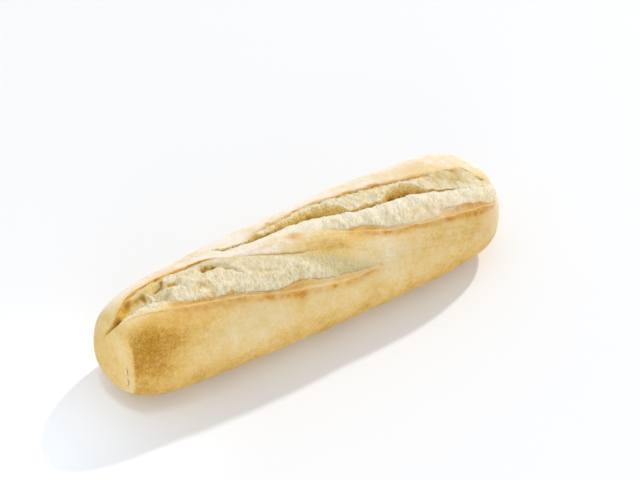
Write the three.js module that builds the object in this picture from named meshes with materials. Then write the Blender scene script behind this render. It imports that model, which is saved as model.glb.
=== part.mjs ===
// A short baguette: one blunt-ended white loaf with two overlapping cuts that burst open as it baked.
// Millimetres, +Z up, +X along the loaf. The origin is at the middle of the underside.
import * as THREE from "three";

// Plain loaf, before the cuts open
const LENGTH = 230;
const WIDTH = 66.2;
const HEIGHT = 53.6;
const WAIST_SHARE = 0.4;
const UPPER_POWER = 2.2;
const LOWER_POWER = 2.45;
const LEFT_BLUNTNESS = 13;
const RIGHT_BLUNTNESS = 9.5;
const RIGHT_WIDENING = 0.08;
const RIGHT_RISE = 0.023;
const NEAR_BARREL = 0.14;
const FAR_BARREL = 0.24;
const CROWN_DROOP = 0.05;
const END_LIFT = 1.8;
const FLAT_CUT = 1;

// Lines across the top are measured round the section, as if its half girth were this long everywhere
const HALF_GIRTH = 90;

// Lines of the first cut: the ridge behind its ear, the ear's edge, the far lip: [place along, place round]
const RIDGE_A = [[-115, -2], [-111, -2.4], [-106, -5], [-90, -9.6], [-70, -15.6], [-50, -20.1], [-16, -29],
  [3, -32.8], [28, -33.6], [50, -38], [115, -46]];
const LIP_A = [[-115, 0], [-111, -0.6], [-108, -2.8], [-95, -1.7], [-91, -2.6], [-82, -7], [-61, -16.3],
  [-29, -25.2], [-15, -25.5], [-6, -28.4], [22, -32.4], [50, -36.5], [115, -44.5]];
const FAR_LIP_A = [[-115, 2], [-111, 1.6], [-108.5, -0.4], [-97, 6.8], [-92, 8.9], [-80, 10.2], [-53, 6.2],
  [-40, 0.4], [-15, -10.8], [0, -15.2], [15, -21.5], [31, -31], [50, -35], [115, -43]];

// Lines of the second cut: ridge, ear, near edge of its crack, rim of the crack's far wall, and far lip
const RIDGE_B = [[-115, 4], [-80, 17], [-60, 11], [-44, 3], [-20, -2.5], [20, -14.4], [55, -23.2],
  [96, -29.4], [115, -35]];
const LIP_B = [[-115, 6], [-80, 19], [-60, 13], [-44, 4.4], [-20, -0.7], [20, -13.2], [36, -18.4],
  [64, -23.8], [69, -22.4], [86, -25.1], [99, -30.2], [115, -34]];
const CRACK_B = [[-115, 12], [-80, 23], [-60, 18], [-40, 6.5], [-20, 2.6], [-2, 2.1], [25, -5.3], [40, -7.6],
  [55, -9], [79, -14.9], [115, -20.5]];
const RIM_B = [[-115, 14], [-80, 25], [-60, 20], [-40, 8.8], [-28, 6.2], [0, 8.6], [10, 9.2], [20, 5],
  [26, -3], [42, -5.2], [50, -0.6], [58, -1.2], [68, -9.4], [79, -13.6], [115, -19]];
const FAR_LIP_B = [[-115, 20], [-80, 29], [-60, 22], [-38, 9], [-30, 7.4], [8, 11], [20, 10], [46, 5],
  [90, -3.6], [99, -12], [115, -17]];
const LEAST_GAP = 1;

// Heights over the plain loaf along the first cut, which starts as a groove and then swells with crumb
const RIDGE_HEIGHT_A = [[-115, 0], [-104, -0.2], [-80, 1], [-45, 1.3], [0, 1.1], [31, 0], [115, 0]];
const LIP_HEIGHT_A = [[-115, 0], [-112, 0], [-107, -1.4], [-98, -2.2], [-82, 0.7], [-70, 1.3], [-20, 1.7],
  [0, 0.8], [31, 0], [115, 0]];
const FOOT_A = [[-115, 0], [-112, -0.6], [-104, -4.2], [-94, -4.6], [-84, -2], [-70, -0.3], [-20, 0.6],
  [0, 0.2], [31, 0], [115, 0]];
const CRUMB_A = [[-115, 0], [-78, 0], [-64, 1.5], [-34, 2.2], [-12, 1.2], [8, 0.2], [31, 0], [115, 0]];
const FLOOR_A = [[-115, 0], [-112, -0.6], [-105, -4], [-98, -5], [-90, -4.6], [-83, -2.8], [-70, 0],
  [115, 0]];
const FAR_FOOT_A = [[-115, 0], [-106, -0.3], [-98, -0.5], [-56, -0.4], [-44, 0.1], [-4, 0.3], [8, 0.4],
  [30, 0], [115, 0]];
const FAR_EDGE_A = [[-115, 0], [-108, 0.1], [-44, 0.2], [-4, 0.4], [8, 0.4], [30, 0], [115, 0]];
const GROOVED = [[-115, 1], [-82, 1], [-74, 0], [115, 0]];
const GROOVE_WALL = [[-115, 0.3], [-104, 0.4], [-98, 0.56], [-80, 0.7], [115, 0.7]];
const SKIN_DROP = [[-115, 0], [-30, 0], [-6, 0.6], [31, 0], [115, 0]];

// Heights along the strip of crust between the cuts, and along the second cut
const STRIP = [[-115, 0], [-60, 0], [-25, 0.3], [5, 0.9], [28, 0.4], [60, 0], [115, 0]];
const RIDGE_HEIGHT_B = [[-115, 0], [-46, 0], [-8, 1.7], [6, 1.7], [20, 0.9], [96, 1], [108, 0], [115, 0]];
const LIP_HEIGHT_B = [[-115, 0], [-46, 0], [-8, 1.7], [6, 1.7], [18, 1], [32, 1.3], [54, 0.9], [85, 1.5],
  [108, 0], [115, 0]];
const FOOT_B = [[-115, 0], [-46, 0], [-8, 1.7], [4, 1.5], [18, 0], [36, 0.1], [46, 0.7], [65, 0.7],
  [85, 0.8], [98, 0.4], [108, 0], [115, 0]];
const ROLL_B = [[-115, 0], [-46, 0], [-30, 0.9], [0, 1.9], [40, 2.4], [60, 2.4], [84, 1.6], [108, 0.5],
  [115, 0]];
const CRACK_DEPTH = [[-115, 0], [-47, 0], [-30, 2.8], [-14, 4.4], [4, 6.6], [18, 6.4], [26, 3.2], [38, 3.2],
  [49, 6.6], [55, 7.6], [63, 7], [69, 2.4], [80, 1], [86, 0], [115, 0]];
const RIM_HEIGHT = [[-115, 0], [-46, 0], [0, 1], [60, 1.4], [85, 0.9], [106, 0], [115, 0]];
const FAR_FOOT_B = [[-115, 0], [-34, 0], [-15, -0.2], [60, -0.2], [92, 0.1], [105, 0], [115, 0]];
const FAR_EDGE_B = [[-115, 0], [-38, 0], [-14, 0.5], [50, 0.6], [92, 0.3], [105, 0], [115, 0]];

// Where the ears widen into flakes that lean over the crumb, and where the second cut has an ear at all
const FLAKE_A = [[-115, 0], [-83, 0], [-78, 1], [-48, 0.5], [-30, 0.5], [-20, 0.7], [12, 0.3], [30, 0],
  [115, 0]];
const FLAKE_B = [[-115, 0], [16, 0], [22, 1], [34, 0.9], [42, 0.2], [65, 0.2], [72, 1], [86, 1.4], [104, 0],
  [115, 0]];
const CRISP_B = [[-115, 0], [12, 0], [20, 1], [97, 1], [108, 0], [115, 0]];

// How the crust's own edges bend before they break off, and how the tears between them are shaped
const EAR_REACH = 4.5;
const RIM_REACH = 1.6;
const RIM_SHARE = 0.6;
const LIP_REACH = 5;
const OVERHANG = 0.5;
const WALL_GAP = 0.25;
const EDGE_POWER = 4;
const GROOVE_SHELF = 0.94;
const CRACK_FLOOR = 0.22;
const ROLL_EDGE_SHARE = 0.75;
const CRACK_END = 79;
const CRACK_CLOSING = 6;
const WEB = { x: -91, round: 1.4, radius: 6, thick: 1.3, from: -97, fade: 4, top: -2.4 };

// Marks: a pit and a pocket in the crumb, a pinch at the far right, and the soft corner of the left end
const MARKS = [
  { x: -55, round: 0, long: 4, wide: 2.1, deep: 2.6 },
  { x: -79.5, round: 4.6, long: 3, wide: 2.4, deep: 1.4 },
  { x: 90, round: 17, long: 6, wide: 1.8, deep: 1 },
  { x: -107, round: -42, long: 1.8, wide: 18, deep: -0.7 },
];

// Fineness of the surface
const MIDDLE_SPAN = 0.8;
const MIDDLE_STATIONS = 74;
const CAP_STATIONS = 9;
const LANE_COLUMNS = [15, 3, 8, 6, 3, 6, 6, 5, 13];
const SIDE_CROWDING = 1.25;
const SECTION_STEPS = 160;
const STEP_ALONG = 0.05;
const STEP_ROUND = 0.004;

// A smooth curve through a few points, as a function of the place along the loaf
function drawn(points) {
  const slopes = points.map((point, i) => {
    const before = points[Math.max(i - 1, 0)];
    const after = points[Math.min(i + 1, points.length - 1)];
    const rising = (point[1] - before[1]) * (after[1] - point[1]) > 0;
    return rising ? (after[1] - before[1]) / (after[0] - before[0]) : 0;
  });
  return (x) => {
    let i = points.length - 2;
    while (i > 0 && x < points[i][0]) i -= 1;
    const step = points[i + 1][0] - points[i][0];
    const t = THREE.MathUtils.clamp((x - points[i][0]) / step, 0, 1);
    const ease = t * t * (3 - 2 * t);
    const lift = t * (1 - t) * ((1 - t) * slopes[i] - t * slopes[i + 1]);
    return THREE.MathUtils.lerp(points[i][1], points[i + 1][1], ease) + step * lift;
  };
}

const bell = (distance, reach) => Math.exp(-((distance / reach) ** 2));
const eased = (t) => THREE.MathUtils.smoothstep(t, 0, 1);
const signedPower = (value, power) => Math.sign(value) * Math.abs(value) ** power;

const lines = [RIDGE_A, LIP_A, FAR_LIP_A, RIDGE_B, LIP_B, CRACK_B, RIM_B, FAR_LIP_B].map(drawn);
const [ridgeHeightA, lipHeightA, footA, crumbA, floorA, farFootA, farEdgeA] =
  [RIDGE_HEIGHT_A, LIP_HEIGHT_A, FOOT_A, CRUMB_A, FLOOR_A, FAR_FOOT_A, FAR_EDGE_A].map(drawn);
const [grooved, grooveWall, skinDrop] = [GROOVED, GROOVE_WALL, SKIN_DROP].map(drawn);
const [flakeA, flakeB, crispB] = [FLAKE_A, FLAKE_B, CRISP_B].map(drawn);
const [strip, ridgeHeightB, lipHeightB, footB, rollB] =
  [STRIP, RIDGE_HEIGHT_B, LIP_HEIGHT_B, FOOT_B, ROLL_B].map(drawn);
const [crackDepth, rimHeight, farFootB, farEdgeB] =
  [CRACK_DEPTH, RIM_HEIGHT, FAR_FOOT_B, FAR_EDGE_B].map(drawn);

// Plain loaf: a point at a station, where angle 0 is the crown, negative is the near side, and pi is below
function loafPoint(x, angle) {
  const share = (2 * x) / LENGTH;
  const blunt = share < 0 ? LEFT_BLUNTNESS : RIGHT_BLUNTNESS;
  const rounding = Math.sqrt(Math.max(1 - Math.abs(share) ** blunt, 0));
  const barrel = angle < 0 ? NEAR_BARREL : FAR_BARREL;
  const halfWidth = (WIDTH / 2) * (1 + RIGHT_WIDENING * share) * (1 - barrel * share ** 2) * rounding;
  const crown = HEIGHT * (1 + RIGHT_RISE * share - CROWN_DROOP * share ** 2);
  const waist = WAIST_SHARE * HEIGHT;
  const up = Math.cos(angle);
  const power = 2 / (up >= 0 ? UPPER_POWER : LOWER_POWER);
  const reach = up >= 0 ? crown - waist : waist - END_LIFT * share ** 4;
  return new THREE.Vector3(
    x,
    halfWidth * signedPower(Math.sin(angle), power),
    waist + reach * signedPower(up, power) * rounding,
  );
}

// A section that can be read by the share of the way round it: -1 below, by the near side to 0 at the crown
function sectionAt(x) {
  const walks = [-1, 1].map((side) => {
    const points = [];
    const lengths = [0];
    for (let i = 0; i <= SECTION_STEPS; i += 1) {
      points.push(loafPoint(x, (side * Math.PI * i) / SECTION_STEPS));
      if (i > 0) lengths.push(lengths[i - 1] + points[i].distanceTo(points[i - 1]));
    }
    return { points, lengths };
  });
  return (share) => {
    const { points, lengths } = walks[share < 0 ? 0 : 1];
    const wanted = Math.min(Math.abs(share), 1) * lengths[SECTION_STEPS];
    let i = 0;
    while (i < SECTION_STEPS - 1 && lengths[i + 1] < wanted) i += 1;
    const t = (wanted - lengths[i]) / (lengths[i + 1] - lengths[i]);
    return points[i].clone().lerp(points[i + 1], t);
  };
}

// The lines at a station, kept in order round the section, with the underside as the first and last of them
function linesAt(x) {
  const places = [-HALF_GIRTH];
  for (const line of lines) places.push(Math.max(line(x), places[places.length - 1] + LEAST_GAP));
  places.push(HALF_GIRTH);
  return places;
}

// The climb of crust to a thin rim: a broad swelling with a narrow crest
function rim(distance) {
  return (1 - RIM_SHARE) * bell(distance, EAR_REACH) + RIM_SHARE * bell(distance, RIM_REACH);
}

// Relief of each lane between two lines: height over the plain loaf and shift round it
const laneRelief = [
  function nearCrust({ x, toEnd }) {
    return { height: ridgeHeightA(x) * rim(toEnd), shift: 0 };
  },
  function earOfCutA({ x, t }) {
    const curl = t * t;
    const height = THREE.MathUtils.lerp(ridgeHeightA(x), lipHeightA(x), curl);
    return { height, shift: OVERHANG * flakeA(x) * curl };
  },
  function crumbOfCutA({ x, t, round }) {
    const start = (1 - t) ** EDGE_POWER;
    const end = t ** EDGE_POWER;
    const swelling = footA(x) * start + (crumbA(x) - skinDrop(x)) * (1 - start - end) + farFootA(x) * end;
    const climb = eased((t - grooveWall(x)) / (GROOVE_SHELF - grooveWall(x)));
    const groove = THREE.MathUtils.lerp(floorA(x), farFootA(x), climb);
    const height = THREE.MathUtils.lerp(swelling, groove, grooved(x));
    const fromArch = Math.hypot(x - WEB.x, round - WEB.round) - WEB.radius;
    const web = grooved(x) * bell(fromArch, WEB.thick) * eased((x - WEB.from) / WEB.fade);
    return { height: Math.max(height, THREE.MathUtils.lerp(height, WEB.top, web)), shift: 0 };
  },
  function bridgingStrip({ x, t, fromStart, toEnd }) {
    const climb = THREE.MathUtils.lerp(eased(t), rim(toEnd), crispB(x));
    const edges = farEdgeA(x) * bell(fromStart, LIP_REACH) + ridgeHeightB(x) * climb;
    return { height: strip(x) * 4 * t * (1 - t) + edges, shift: 0 };
  },
  function earOfCutB({ x, t }) {
    const curl = t * t;
    const height = THREE.MathUtils.lerp(ridgeHeightB(x), lipHeightB(x), curl);
    return { height, shift: OVERHANG * flakeB(x) * curl };
  },
  function rollOfCutB({ x, t }) {
    const start = (1 - t) ** EDGE_POWER;
    const crest = rollB(x) * (1 - (1 - ROLL_EDGE_SHARE) * t ** EDGE_POWER);
    return { height: THREE.MathUtils.lerp(crest, footB(x), start), shift: 0 };
  },
  function wallOfCutB({ x, t }) {
    const climb = eased((t - CRACK_FLOOR) / (1 - CRACK_FLOOR));
    const closed = eased((x - CRACK_END) / CRACK_CLOSING);
    const low = THREE.MathUtils.lerp(-crackDepth(x), ROLL_EDGE_SHARE * rollB(x), closed);
    return { height: THREE.MathUtils.lerp(low, rimHeight(x), climb), shift: 0 };
  },
  function ledgeOfCutB({ x, t }) {
    return { height: THREE.MathUtils.lerp(rimHeight(x), farFootB(x), t ** EDGE_POWER), shift: 0 };
  },
  function farCrust({ x, fromStart }) {
    return { height: farEdgeB(x) * bell(fromStart, LIP_REACH), shift: 0 };
  },
];

// Marks that lie on the surface wherever they fall
function markDepth(x, round) {
  let depth = 0;
  for (const mark of MARKS) {
    depth += mark.deep * bell(x - mark.x, mark.long) * bell(round - mark.round, mark.wide);
  }
  return depth;
}

// Places of the columns across each lane, as shares of its width: closest together at the lines
const laneShares = LANE_COLUMNS.map((count, lane) => {
  const shares = [];
  for (let i = 0; i < count; i += 1) {
    const t = i / (count - 1);
    if (lane === 0) shares.push(1 - (1 - t) ** SIDE_CROWDING);
    else if (lane === LANE_COLUMNS.length - 1) shares.push(t ** SIDE_CROWDING);
    else shares.push((1 - Math.cos(t * Math.PI)) / 2);
  }
  return shares;
});

// Stations along the loaf: even in the middle, then even steps of turn round each blunt end
function stations() {
  const cap = (blunt) => {
    const first = Math.asin(MIDDLE_SPAN ** (blunt / 2));
    const turn = (Math.PI / 2 - first) / (CAP_STATIONS + 1);
    return Array.from({ length: CAP_STATIONS }, (_, i) => Math.sin(first + turn * (i + 1)) ** (2 / blunt));
  };
  const stride = (2 * MIDDLE_SPAN) / (MIDDLE_STATIONS - 1);
  const middle = Array.from({ length: MIDDLE_STATIONS }, (_, i) => stride * i - MIDDLE_SPAN);
  const left = cap(LEFT_BLUNTNESS).reverse().map((share) => -share);
  return [...left, ...middle, ...cap(RIGHT_BLUNTNESS)].map((share) => (share * LENGTH) / 2);
}

// One ring of surface points at a station, from the underside round the near side, the top and the far side
function ring(x) {
  const section = sectionAt(x);
  const inward = x > 0 ? -1 : 1;
  const beside = sectionAt(x + inward * STEP_ALONG);
  const places = linesAt(x);
  const points = [];
  laneShares.forEach((shares, lane) => {
    const last = lane === LANE_COLUMNS.length - 1;
    const start = places[lane] + (lane > 0 ? WALL_GAP / 2 : 0);
    const end = places[lane + 1] - (last ? 0 : WALL_GAP / 2);
    for (const t of last ? shares.slice(0, -1) : shares) {
      const round = THREE.MathUtils.lerp(start, end, t);
      const spot = { x, t, round, fromStart: round - start, toEnd: end - round };
      const { height, shift } = laneRelief[lane](spot);
      const place = (round + shift) / HALF_GIRTH;
      const base = section(place);
      const across = section(place + STEP_ROUND).sub(section(place - STEP_ROUND));
      const along = beside(place).sub(base).multiplyScalar(inward);
      const outward = along.cross(across).normalize();
      const point = base.addScaledVector(outward, height - markDepth(x, round));
      point.z = Math.max(point.z - FLAT_CUT, 0);
      points.push(point);
    }
  });
  return points;
}

// Closed surface: rings joined to their neighbours, with a point at each end
function loafGeometry() {
  const rings = stations().map(ring);
  const count = rings[0].length;
  const ends = [-LENGTH / 2, LENGTH / 2].map((x) => loafPoint(x, 0).add(new THREE.Vector3(0, 0, -FLAT_CUT)));
  const vertices = [...rings.flat(), ...ends].flatMap((point) => point.toArray());
  const leftEnd = rings.length * count;
  const rightEnd = leftEnd + 1;
  const lastRing = (rings.length - 1) * count;
  const triangles = [];
  for (let j = 0; j < count; j += 1) {
    const next = (j + 1) % count;
    triangles.push(leftEnd, j, next);
    triangles.push(rightEnd, lastRing + next, lastRing + j);
    for (let i = 0; i < rings.length - 1; i += 1) {
      const here = i * count;
      const beyond = here + count;
      triangles.push(here + j, beyond + next, here + next);
      triangles.push(here + j, beyond + j, beyond + next);
    }
  }
  const geometry = new THREE.BufferGeometry();
  geometry.setAttribute("position", new THREE.Float32BufferAttribute(vertices, 3));
  geometry.setIndex(triangles);
  geometry.computeBoundingBox();
  const middle = geometry.boundingBox.getCenter(new THREE.Vector3());
  geometry.translate(-middle.x, -middle.y, 0);
  return geometry;
}

const crust = new THREE.MeshStandardMaterial({ color: 0xd6b36f, roughness: 0.7, metalness: 0 });
const loaf = new THREE.Mesh(loafGeometry(), crust);
loaf.name = "loaf";

const baguette = new THREE.Group();
baguette.add(loaf);

export default baguette;
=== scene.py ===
# %% [markdown]
# # A short baguette
# A white loaf the length of a hand and a half, cut twice on the slant before baking. In the oven the
# cuts burst: crust lifts into thin toasted ears, and pale crumb swells up between them. The loaf is one
# piece, so this lesson makes one mesh. Its large form comes from a few named sizes, its torn detail from
# noise that is worked out in numpy, and its colours from masks that are measured while the shape is made.

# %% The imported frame
import math

import bpy
import numpy as np
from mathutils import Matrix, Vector


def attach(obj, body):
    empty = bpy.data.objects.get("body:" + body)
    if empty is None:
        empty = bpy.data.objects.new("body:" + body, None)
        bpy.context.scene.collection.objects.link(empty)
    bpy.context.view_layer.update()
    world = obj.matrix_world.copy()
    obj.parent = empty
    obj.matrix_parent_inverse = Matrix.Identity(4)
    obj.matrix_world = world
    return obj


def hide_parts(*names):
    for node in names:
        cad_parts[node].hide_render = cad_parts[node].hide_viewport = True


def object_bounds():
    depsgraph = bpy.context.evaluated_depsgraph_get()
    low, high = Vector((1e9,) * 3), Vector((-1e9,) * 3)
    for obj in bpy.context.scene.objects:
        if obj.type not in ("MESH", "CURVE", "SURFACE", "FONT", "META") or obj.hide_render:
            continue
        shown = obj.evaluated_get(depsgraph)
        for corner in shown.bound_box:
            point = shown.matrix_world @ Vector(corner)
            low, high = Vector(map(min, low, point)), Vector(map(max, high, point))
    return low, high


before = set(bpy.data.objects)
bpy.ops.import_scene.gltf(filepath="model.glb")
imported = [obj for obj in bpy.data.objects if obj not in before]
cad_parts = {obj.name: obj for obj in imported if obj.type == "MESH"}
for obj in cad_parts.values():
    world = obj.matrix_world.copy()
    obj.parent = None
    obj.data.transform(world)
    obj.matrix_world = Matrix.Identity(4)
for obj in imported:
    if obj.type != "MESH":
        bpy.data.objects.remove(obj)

MM = 0.001
cad_box = [list(corner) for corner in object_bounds()]
print("CAD box in mm:", [[round(value / MM, 1) for value in corner] for corner in cad_box])

# %% [markdown]
# ## The camera
# A product camera stands well back with a long lens, so that the near end of the loaf isn't swollen by
# perspective. It looks down at the loaf from one side of its near flank. Azimuth, elevation and distance
# say that more clearly than a matrix would, so the camera is placed from them.

# %% The camera
CAMERA_AZIMUTH = math.radians(-33.33)
CAMERA_ELEVATION = math.radians(42)
CAMERA_DISTANCE = 1.0
CAMERA_TARGET = Vector((22.2, 17.85, 19.0)) * MM
CAMERA_LENS = 109.4


def direction(azimuth, elevation):
    """Unit vector from the loaf towards something seen at that azimuth and elevation."""
    flat = math.cos(elevation)
    return Vector((math.sin(azimuth) * flat, -math.cos(azimuth) * flat, math.sin(elevation)))


scene = bpy.context.scene
camera_data = bpy.data.cameras.new("product_camera")
camera_data.lens = CAMERA_LENS
camera = bpy.data.objects.new("product_camera", camera_data)
towards_camera = direction(CAMERA_AZIMUTH, CAMERA_ELEVATION)
camera.location = CAMERA_TARGET + towards_camera * CAMERA_DISTANCE
camera.rotation_euler = towards_camera.to_track_quat("Z", "Y").to_euler()
scene.collection.objects.link(camera)
scene.camera = camera
print("camera at", [round(value, 3) for value in camera.location])

# %% [markdown]
# ## The light
# The sky is an even white. A small key light stands far off behind the right end, like a low sun, and
# gives the bright far edge and the long shadow towards the viewer. A soft box lights the blunt end, and
# one low in front lifts the near flank. A cool spot from above lets the shadow fade out at the left. The
# view transform is Standard, so that a colour measured on real crust can be used as it is.

# %% Sky and lamps
SKY_STRENGTH = 0.66
LAMPS = {
    "key_light": {"azimuth": 113, "elevation": 37, "distance": 8.0, "size": 0.45, "power": 365},
    "left_soft_box": {"azimuth": -85, "elevation": 52, "distance": 0.45, "size": 0.3, "power": 0.07},
    "front_soft_box": {"azimuth": -30, "elevation": 14, "distance": 1.1, "size": 0.5, "power": 1.9},
}
FLOOR_LAMP = {"at": (-0.165, -0.012, 0.4), "cone": 24, "soft": 0.05, "power": 2.8}
FLOOR_LAMP_COLOUR = (0.8, 0.9, 1.0)

scene.view_settings.view_transform = "Standard"
world = bpy.data.worlds.new("white_sky")
world.use_nodes = True
sky = world.node_tree.nodes["Background"]
sky.inputs["Color"].default_value = (1.0, 1.0, 1.0, 1.0)
sky.inputs["Strength"].default_value = SKY_STRENGTH
scene.world = world

for name, lamp in LAMPS.items():
    light = bpy.data.lights.new(name, "AREA")
    light.shape = "DISK"
    light.size = lamp["size"]
    light.energy = lamp["power"]
    towards = direction(math.radians(lamp["azimuth"]), math.radians(lamp["elevation"]))
    holder = bpy.data.objects.new(name, light)
    holder.location = towards * lamp["distance"]
    holder.rotation_euler = towards.to_track_quat("Z", "Y").to_euler()
    scene.collection.objects.link(holder)
    print(name, "at", [round(value, 2) for value in holder.location])

spot = bpy.data.lights.new("floor_lamp", "SPOT")
spot.energy = FLOOR_LAMP["power"]
spot.color = FLOOR_LAMP_COLOUR
spot.spot_size = math.radians(FLOOR_LAMP["cone"])
spot.spot_blend = 1.0
spot.shadow_soft_size = FLOOR_LAMP["soft"]
spot_holder = bpy.data.objects.new("floor_lamp", spot)
spot_holder.location = FLOOR_LAMP["at"]
scene.collection.objects.link(spot_holder)

# %% [markdown]
# ## The floor
# A product table is a broad pale sheet. One large square does for it. More light would burn out the crust
# before the sheet turned white, so its paint glows a little instead.

# %% The floor
FLOOR_SIZE = 8.0
FLOOR_DROP = 0.00002
FLOOR_COLOUR = (0.778, 0.787, 0.805, 1.0)
FLOOR_ROUGHNESS = 0.7
GLOW_COLOUR = (0.98, 0.99, 1.0, 1.0)
GLOW_STRENGTH = 0.125

floor_mesh = bpy.data.meshes.new("pale_floor")
reach = FLOOR_SIZE / 2
floor_corners = [(-reach, -reach, 0), (reach, -reach, 0), (reach, reach, 0), (-reach, reach, 0)]
floor_mesh.from_pydata(floor_corners, [], [(0, 1, 2, 3)])
floor = bpy.data.objects.new("pale_floor", floor_mesh)
floor.location.z = cad_box[0][2] - FLOOR_DROP
scene.collection.objects.link(floor)

floor_paint = bpy.data.materials.new("pale_floor")
floor_paint.use_nodes = True
floor_shader = floor_paint.node_tree.nodes["Principled BSDF"]
floor_shader.inputs["Base Color"].default_value = FLOOR_COLOUR
floor_shader.inputs["Roughness"].default_value = FLOOR_ROUGHNESS
floor_shader.inputs["Emission Color"].default_value = GLOW_COLOUR
floor_shader.inputs["Emission Strength"].default_value = GLOW_STRENGTH
floor_mesh.materials.append(floor_paint)
print("floor at", floor.location.z)

# %% [markdown]
# ## Curves through a few points
# Almost every size on a loaf drifts along its length: a lip wanders, an ear grows and dies away. Each is
# drawn as a few points, and this helper turns them into a smooth function of the place along the loaf. A
# spline could swing past its points; this cubic Hermite curve goes flat at every peak instead, and keeps
# its first and last value beyond its ends.

# %% Curves and easing


def eased(t):
    """0 to 1 with soft ends."""
    t = np.clip(t, 0, 1)
    return t * t * (3 - 2 * t)


def drawn(points):
    """A smooth curve through [place along the loaf, value] points, as a function of the place."""
    places, values = np.array(points, float).T
    steps = np.diff(places)
    slopes = np.zeros(len(places))
    rising = np.diff(values)[:-1] * np.diff(values)[1:] > 0
    slopes[1:-1] = np.where(rising, (values[2:] - values[:-2]) / (places[2:] - places[:-2]), 0)

    def curve(x):
        i = np.clip(np.searchsorted(places, x, side="right") - 1, 0, len(steps) - 1)
        t = np.clip((x - places[i]) / steps[i], 0, 1)
        lift = t * (1 - t) * ((1 - t) * slopes[i] - t * slopes[i + 1])
        return values[i] + (values[i + 1] - values[i]) * eased(t) + steps[i] * lift

    return curve


def bell(distance, reach):
    """1 at no distance, fading out at about twice the reach."""
    return np.exp(-((distance / reach) ** 2))


def within(distance, reach):
    """1 up to the reach, fading to 0 at twice that."""
    return eased(2 - distance / reach)


print("a quarter, eased:", eased(0.25))

# %% [markdown]
# ## Random hills
# Bread is uneven at every scale. Blender has noise textures, but they shade a surface without moving it,
# and here the torn crumb has to be real geometry. So the noise is worked out on a grid of random slopes,
# eased from one grid square to the next, which is how gradient noise is made. The draws are seeded, so
# that every run gives the same loaf. A kind of unevenness is written as its length along the loaf, width
# round it, height, and the layer of slopes that it takes.

# %% Random hills
LATTICE = 512
LAYERS = 12
HILL_GAIN = 1.6
draws = np.random.default_rng(23)
slope_angles = draws.uniform(0, 2 * np.pi, (LAYERS, LATTICE, LATTICE))


def hills(u, v, layer):
    """Smooth random heights from about -1 to 1, with hills about one unit of u and v apart."""
    u, v = np.broadcast_arrays(u, v)
    i = np.floor(u).astype(int)
    j = np.floor(v).astype(int)
    du = u - i
    dv = v - j

    def corner(a, b):
        angle = slope_angles[layer, (i + a) % LATTICE, (j + b) % LATTICE]
        return np.cos(angle) * (du - a) + np.sin(angle) * (dv - b)

    near = corner(0, 0) + (corner(1, 0) - corner(0, 0)) * eased(du)
    far = corner(0, 1) + (corner(1, 1) - corner(0, 1)) * eased(du)
    return HILL_GAIN * (near + (far - near) * eased(dv))


def uneven(x, around, kind):
    """Hills of one kind at places along and round the loaf."""
    length, width, height, layer = kind
    return height * hills(x / length, around / width, layer)


print("random slopes:", slope_angles.shape)

# %% [markdown]
# ## The plain loaf
# Before the cuts open, the loaf is a rounded bar: nearly round on top, flatter below where it sat on the
# tray, blunt at both ends and a little wider at the right one. A scaled sphere or a subdivided box would
# only come near that. A superellipse section, with its size and its end rounding given along the length,
# has it in a dozen numbers.

# %% The plain loaf
LENGTH = 230
WIDTH = 66.2
HEIGHT = 53.6
WAIST_SHARE = 0.4
UPPER_POWER = 2.2
LOWER_POWER = 2.45
LEFT_BLUNTNESS = 13
RIGHT_BLUNTNESS = 9.5
RIGHT_WIDENING = 0.08
RIGHT_RISE = 0.023
NEAR_BARREL = 0.14
FAR_BARREL = 0.24
CROWN_DROOP = 0.05
END_LIFT = 1.8


def loaf_points(x, angle):
    """Points of the plain loaf in mm. Angle 0 is the crown, negative is the near side, pi is below."""
    share = 2 * x / LENGTH
    blunt = np.where(share < 0, LEFT_BLUNTNESS, RIGHT_BLUNTNESS)
    rounding = np.sqrt(np.clip(1 - np.abs(share) ** blunt, 0, 1))
    barrel = np.where(angle < 0, NEAR_BARREL, FAR_BARREL)
    half_width = WIDTH / 2 * (1 + RIGHT_WIDENING * share) * (1 - barrel * share**2) * rounding
    crown = HEIGHT * (1 + RIGHT_RISE * share - CROWN_DROOP * share**2)
    waist = WAIST_SHARE * HEIGHT
    side = np.sin(angle)
    up = np.cos(angle)
    power = 2 / np.where(up >= 0, UPPER_POWER, LOWER_POWER)
    height = np.where(up >= 0, crown - waist, waist - END_LIFT * share**4)
    y = half_width * np.sign(side) * np.abs(side) ** power
    z = waist + height * np.sign(up) * np.abs(up) ** power * rounding
    return np.stack(np.broadcast_arrays(x, y, z), axis=-1)


print("crown of the plain loaf in mm:", loaf_points(0.0, 0.0).tolist())

# %% [markdown]
# ## Places round the section
# The cuts are drawn on the loaf's skin as on paper, so they need a coordinate that measures along the
# skin. An angle would crowd them where the section is flat. So each section is walked once on each side,
# and a place is read as a share of that walk: 0 at the crown, -1 and 1 below.

# %% Places round the section
SECTION_STEPS = 400


def angles_at(x, place):
    """Angles round the section for a grid of places, one row to each station along the loaf."""
    walk_angles = np.linspace(0, np.pi, SECTION_STEPS + 1)
    found = np.empty(place.shape)
    for row, station in enumerate(x[:, 0]):
        for side in (-1, 1):
            walk = loaf_points(station, side * walk_angles)
            strides = np.linalg.norm(np.diff(walk, axis=0), axis=1)
            lengths = np.concatenate([[0], np.cumsum(strides)])
            here = place[row] * side >= 0
            wanted = np.abs(place[row, here]) * lengths[-1]
            found[row, here] = side * np.interp(wanted, lengths, walk_angles)
    return found


def skin(x, place):
    """Points of the plain loaf at places round its sections."""
    return loaf_points(x, angles_at(x, place))


half_down = angles_at(np.zeros((1, 1)), np.full((1, 1), -0.5))[0, 0]
print("halfway down the near side is at", round(math.degrees(half_down)), "degrees")

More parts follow.
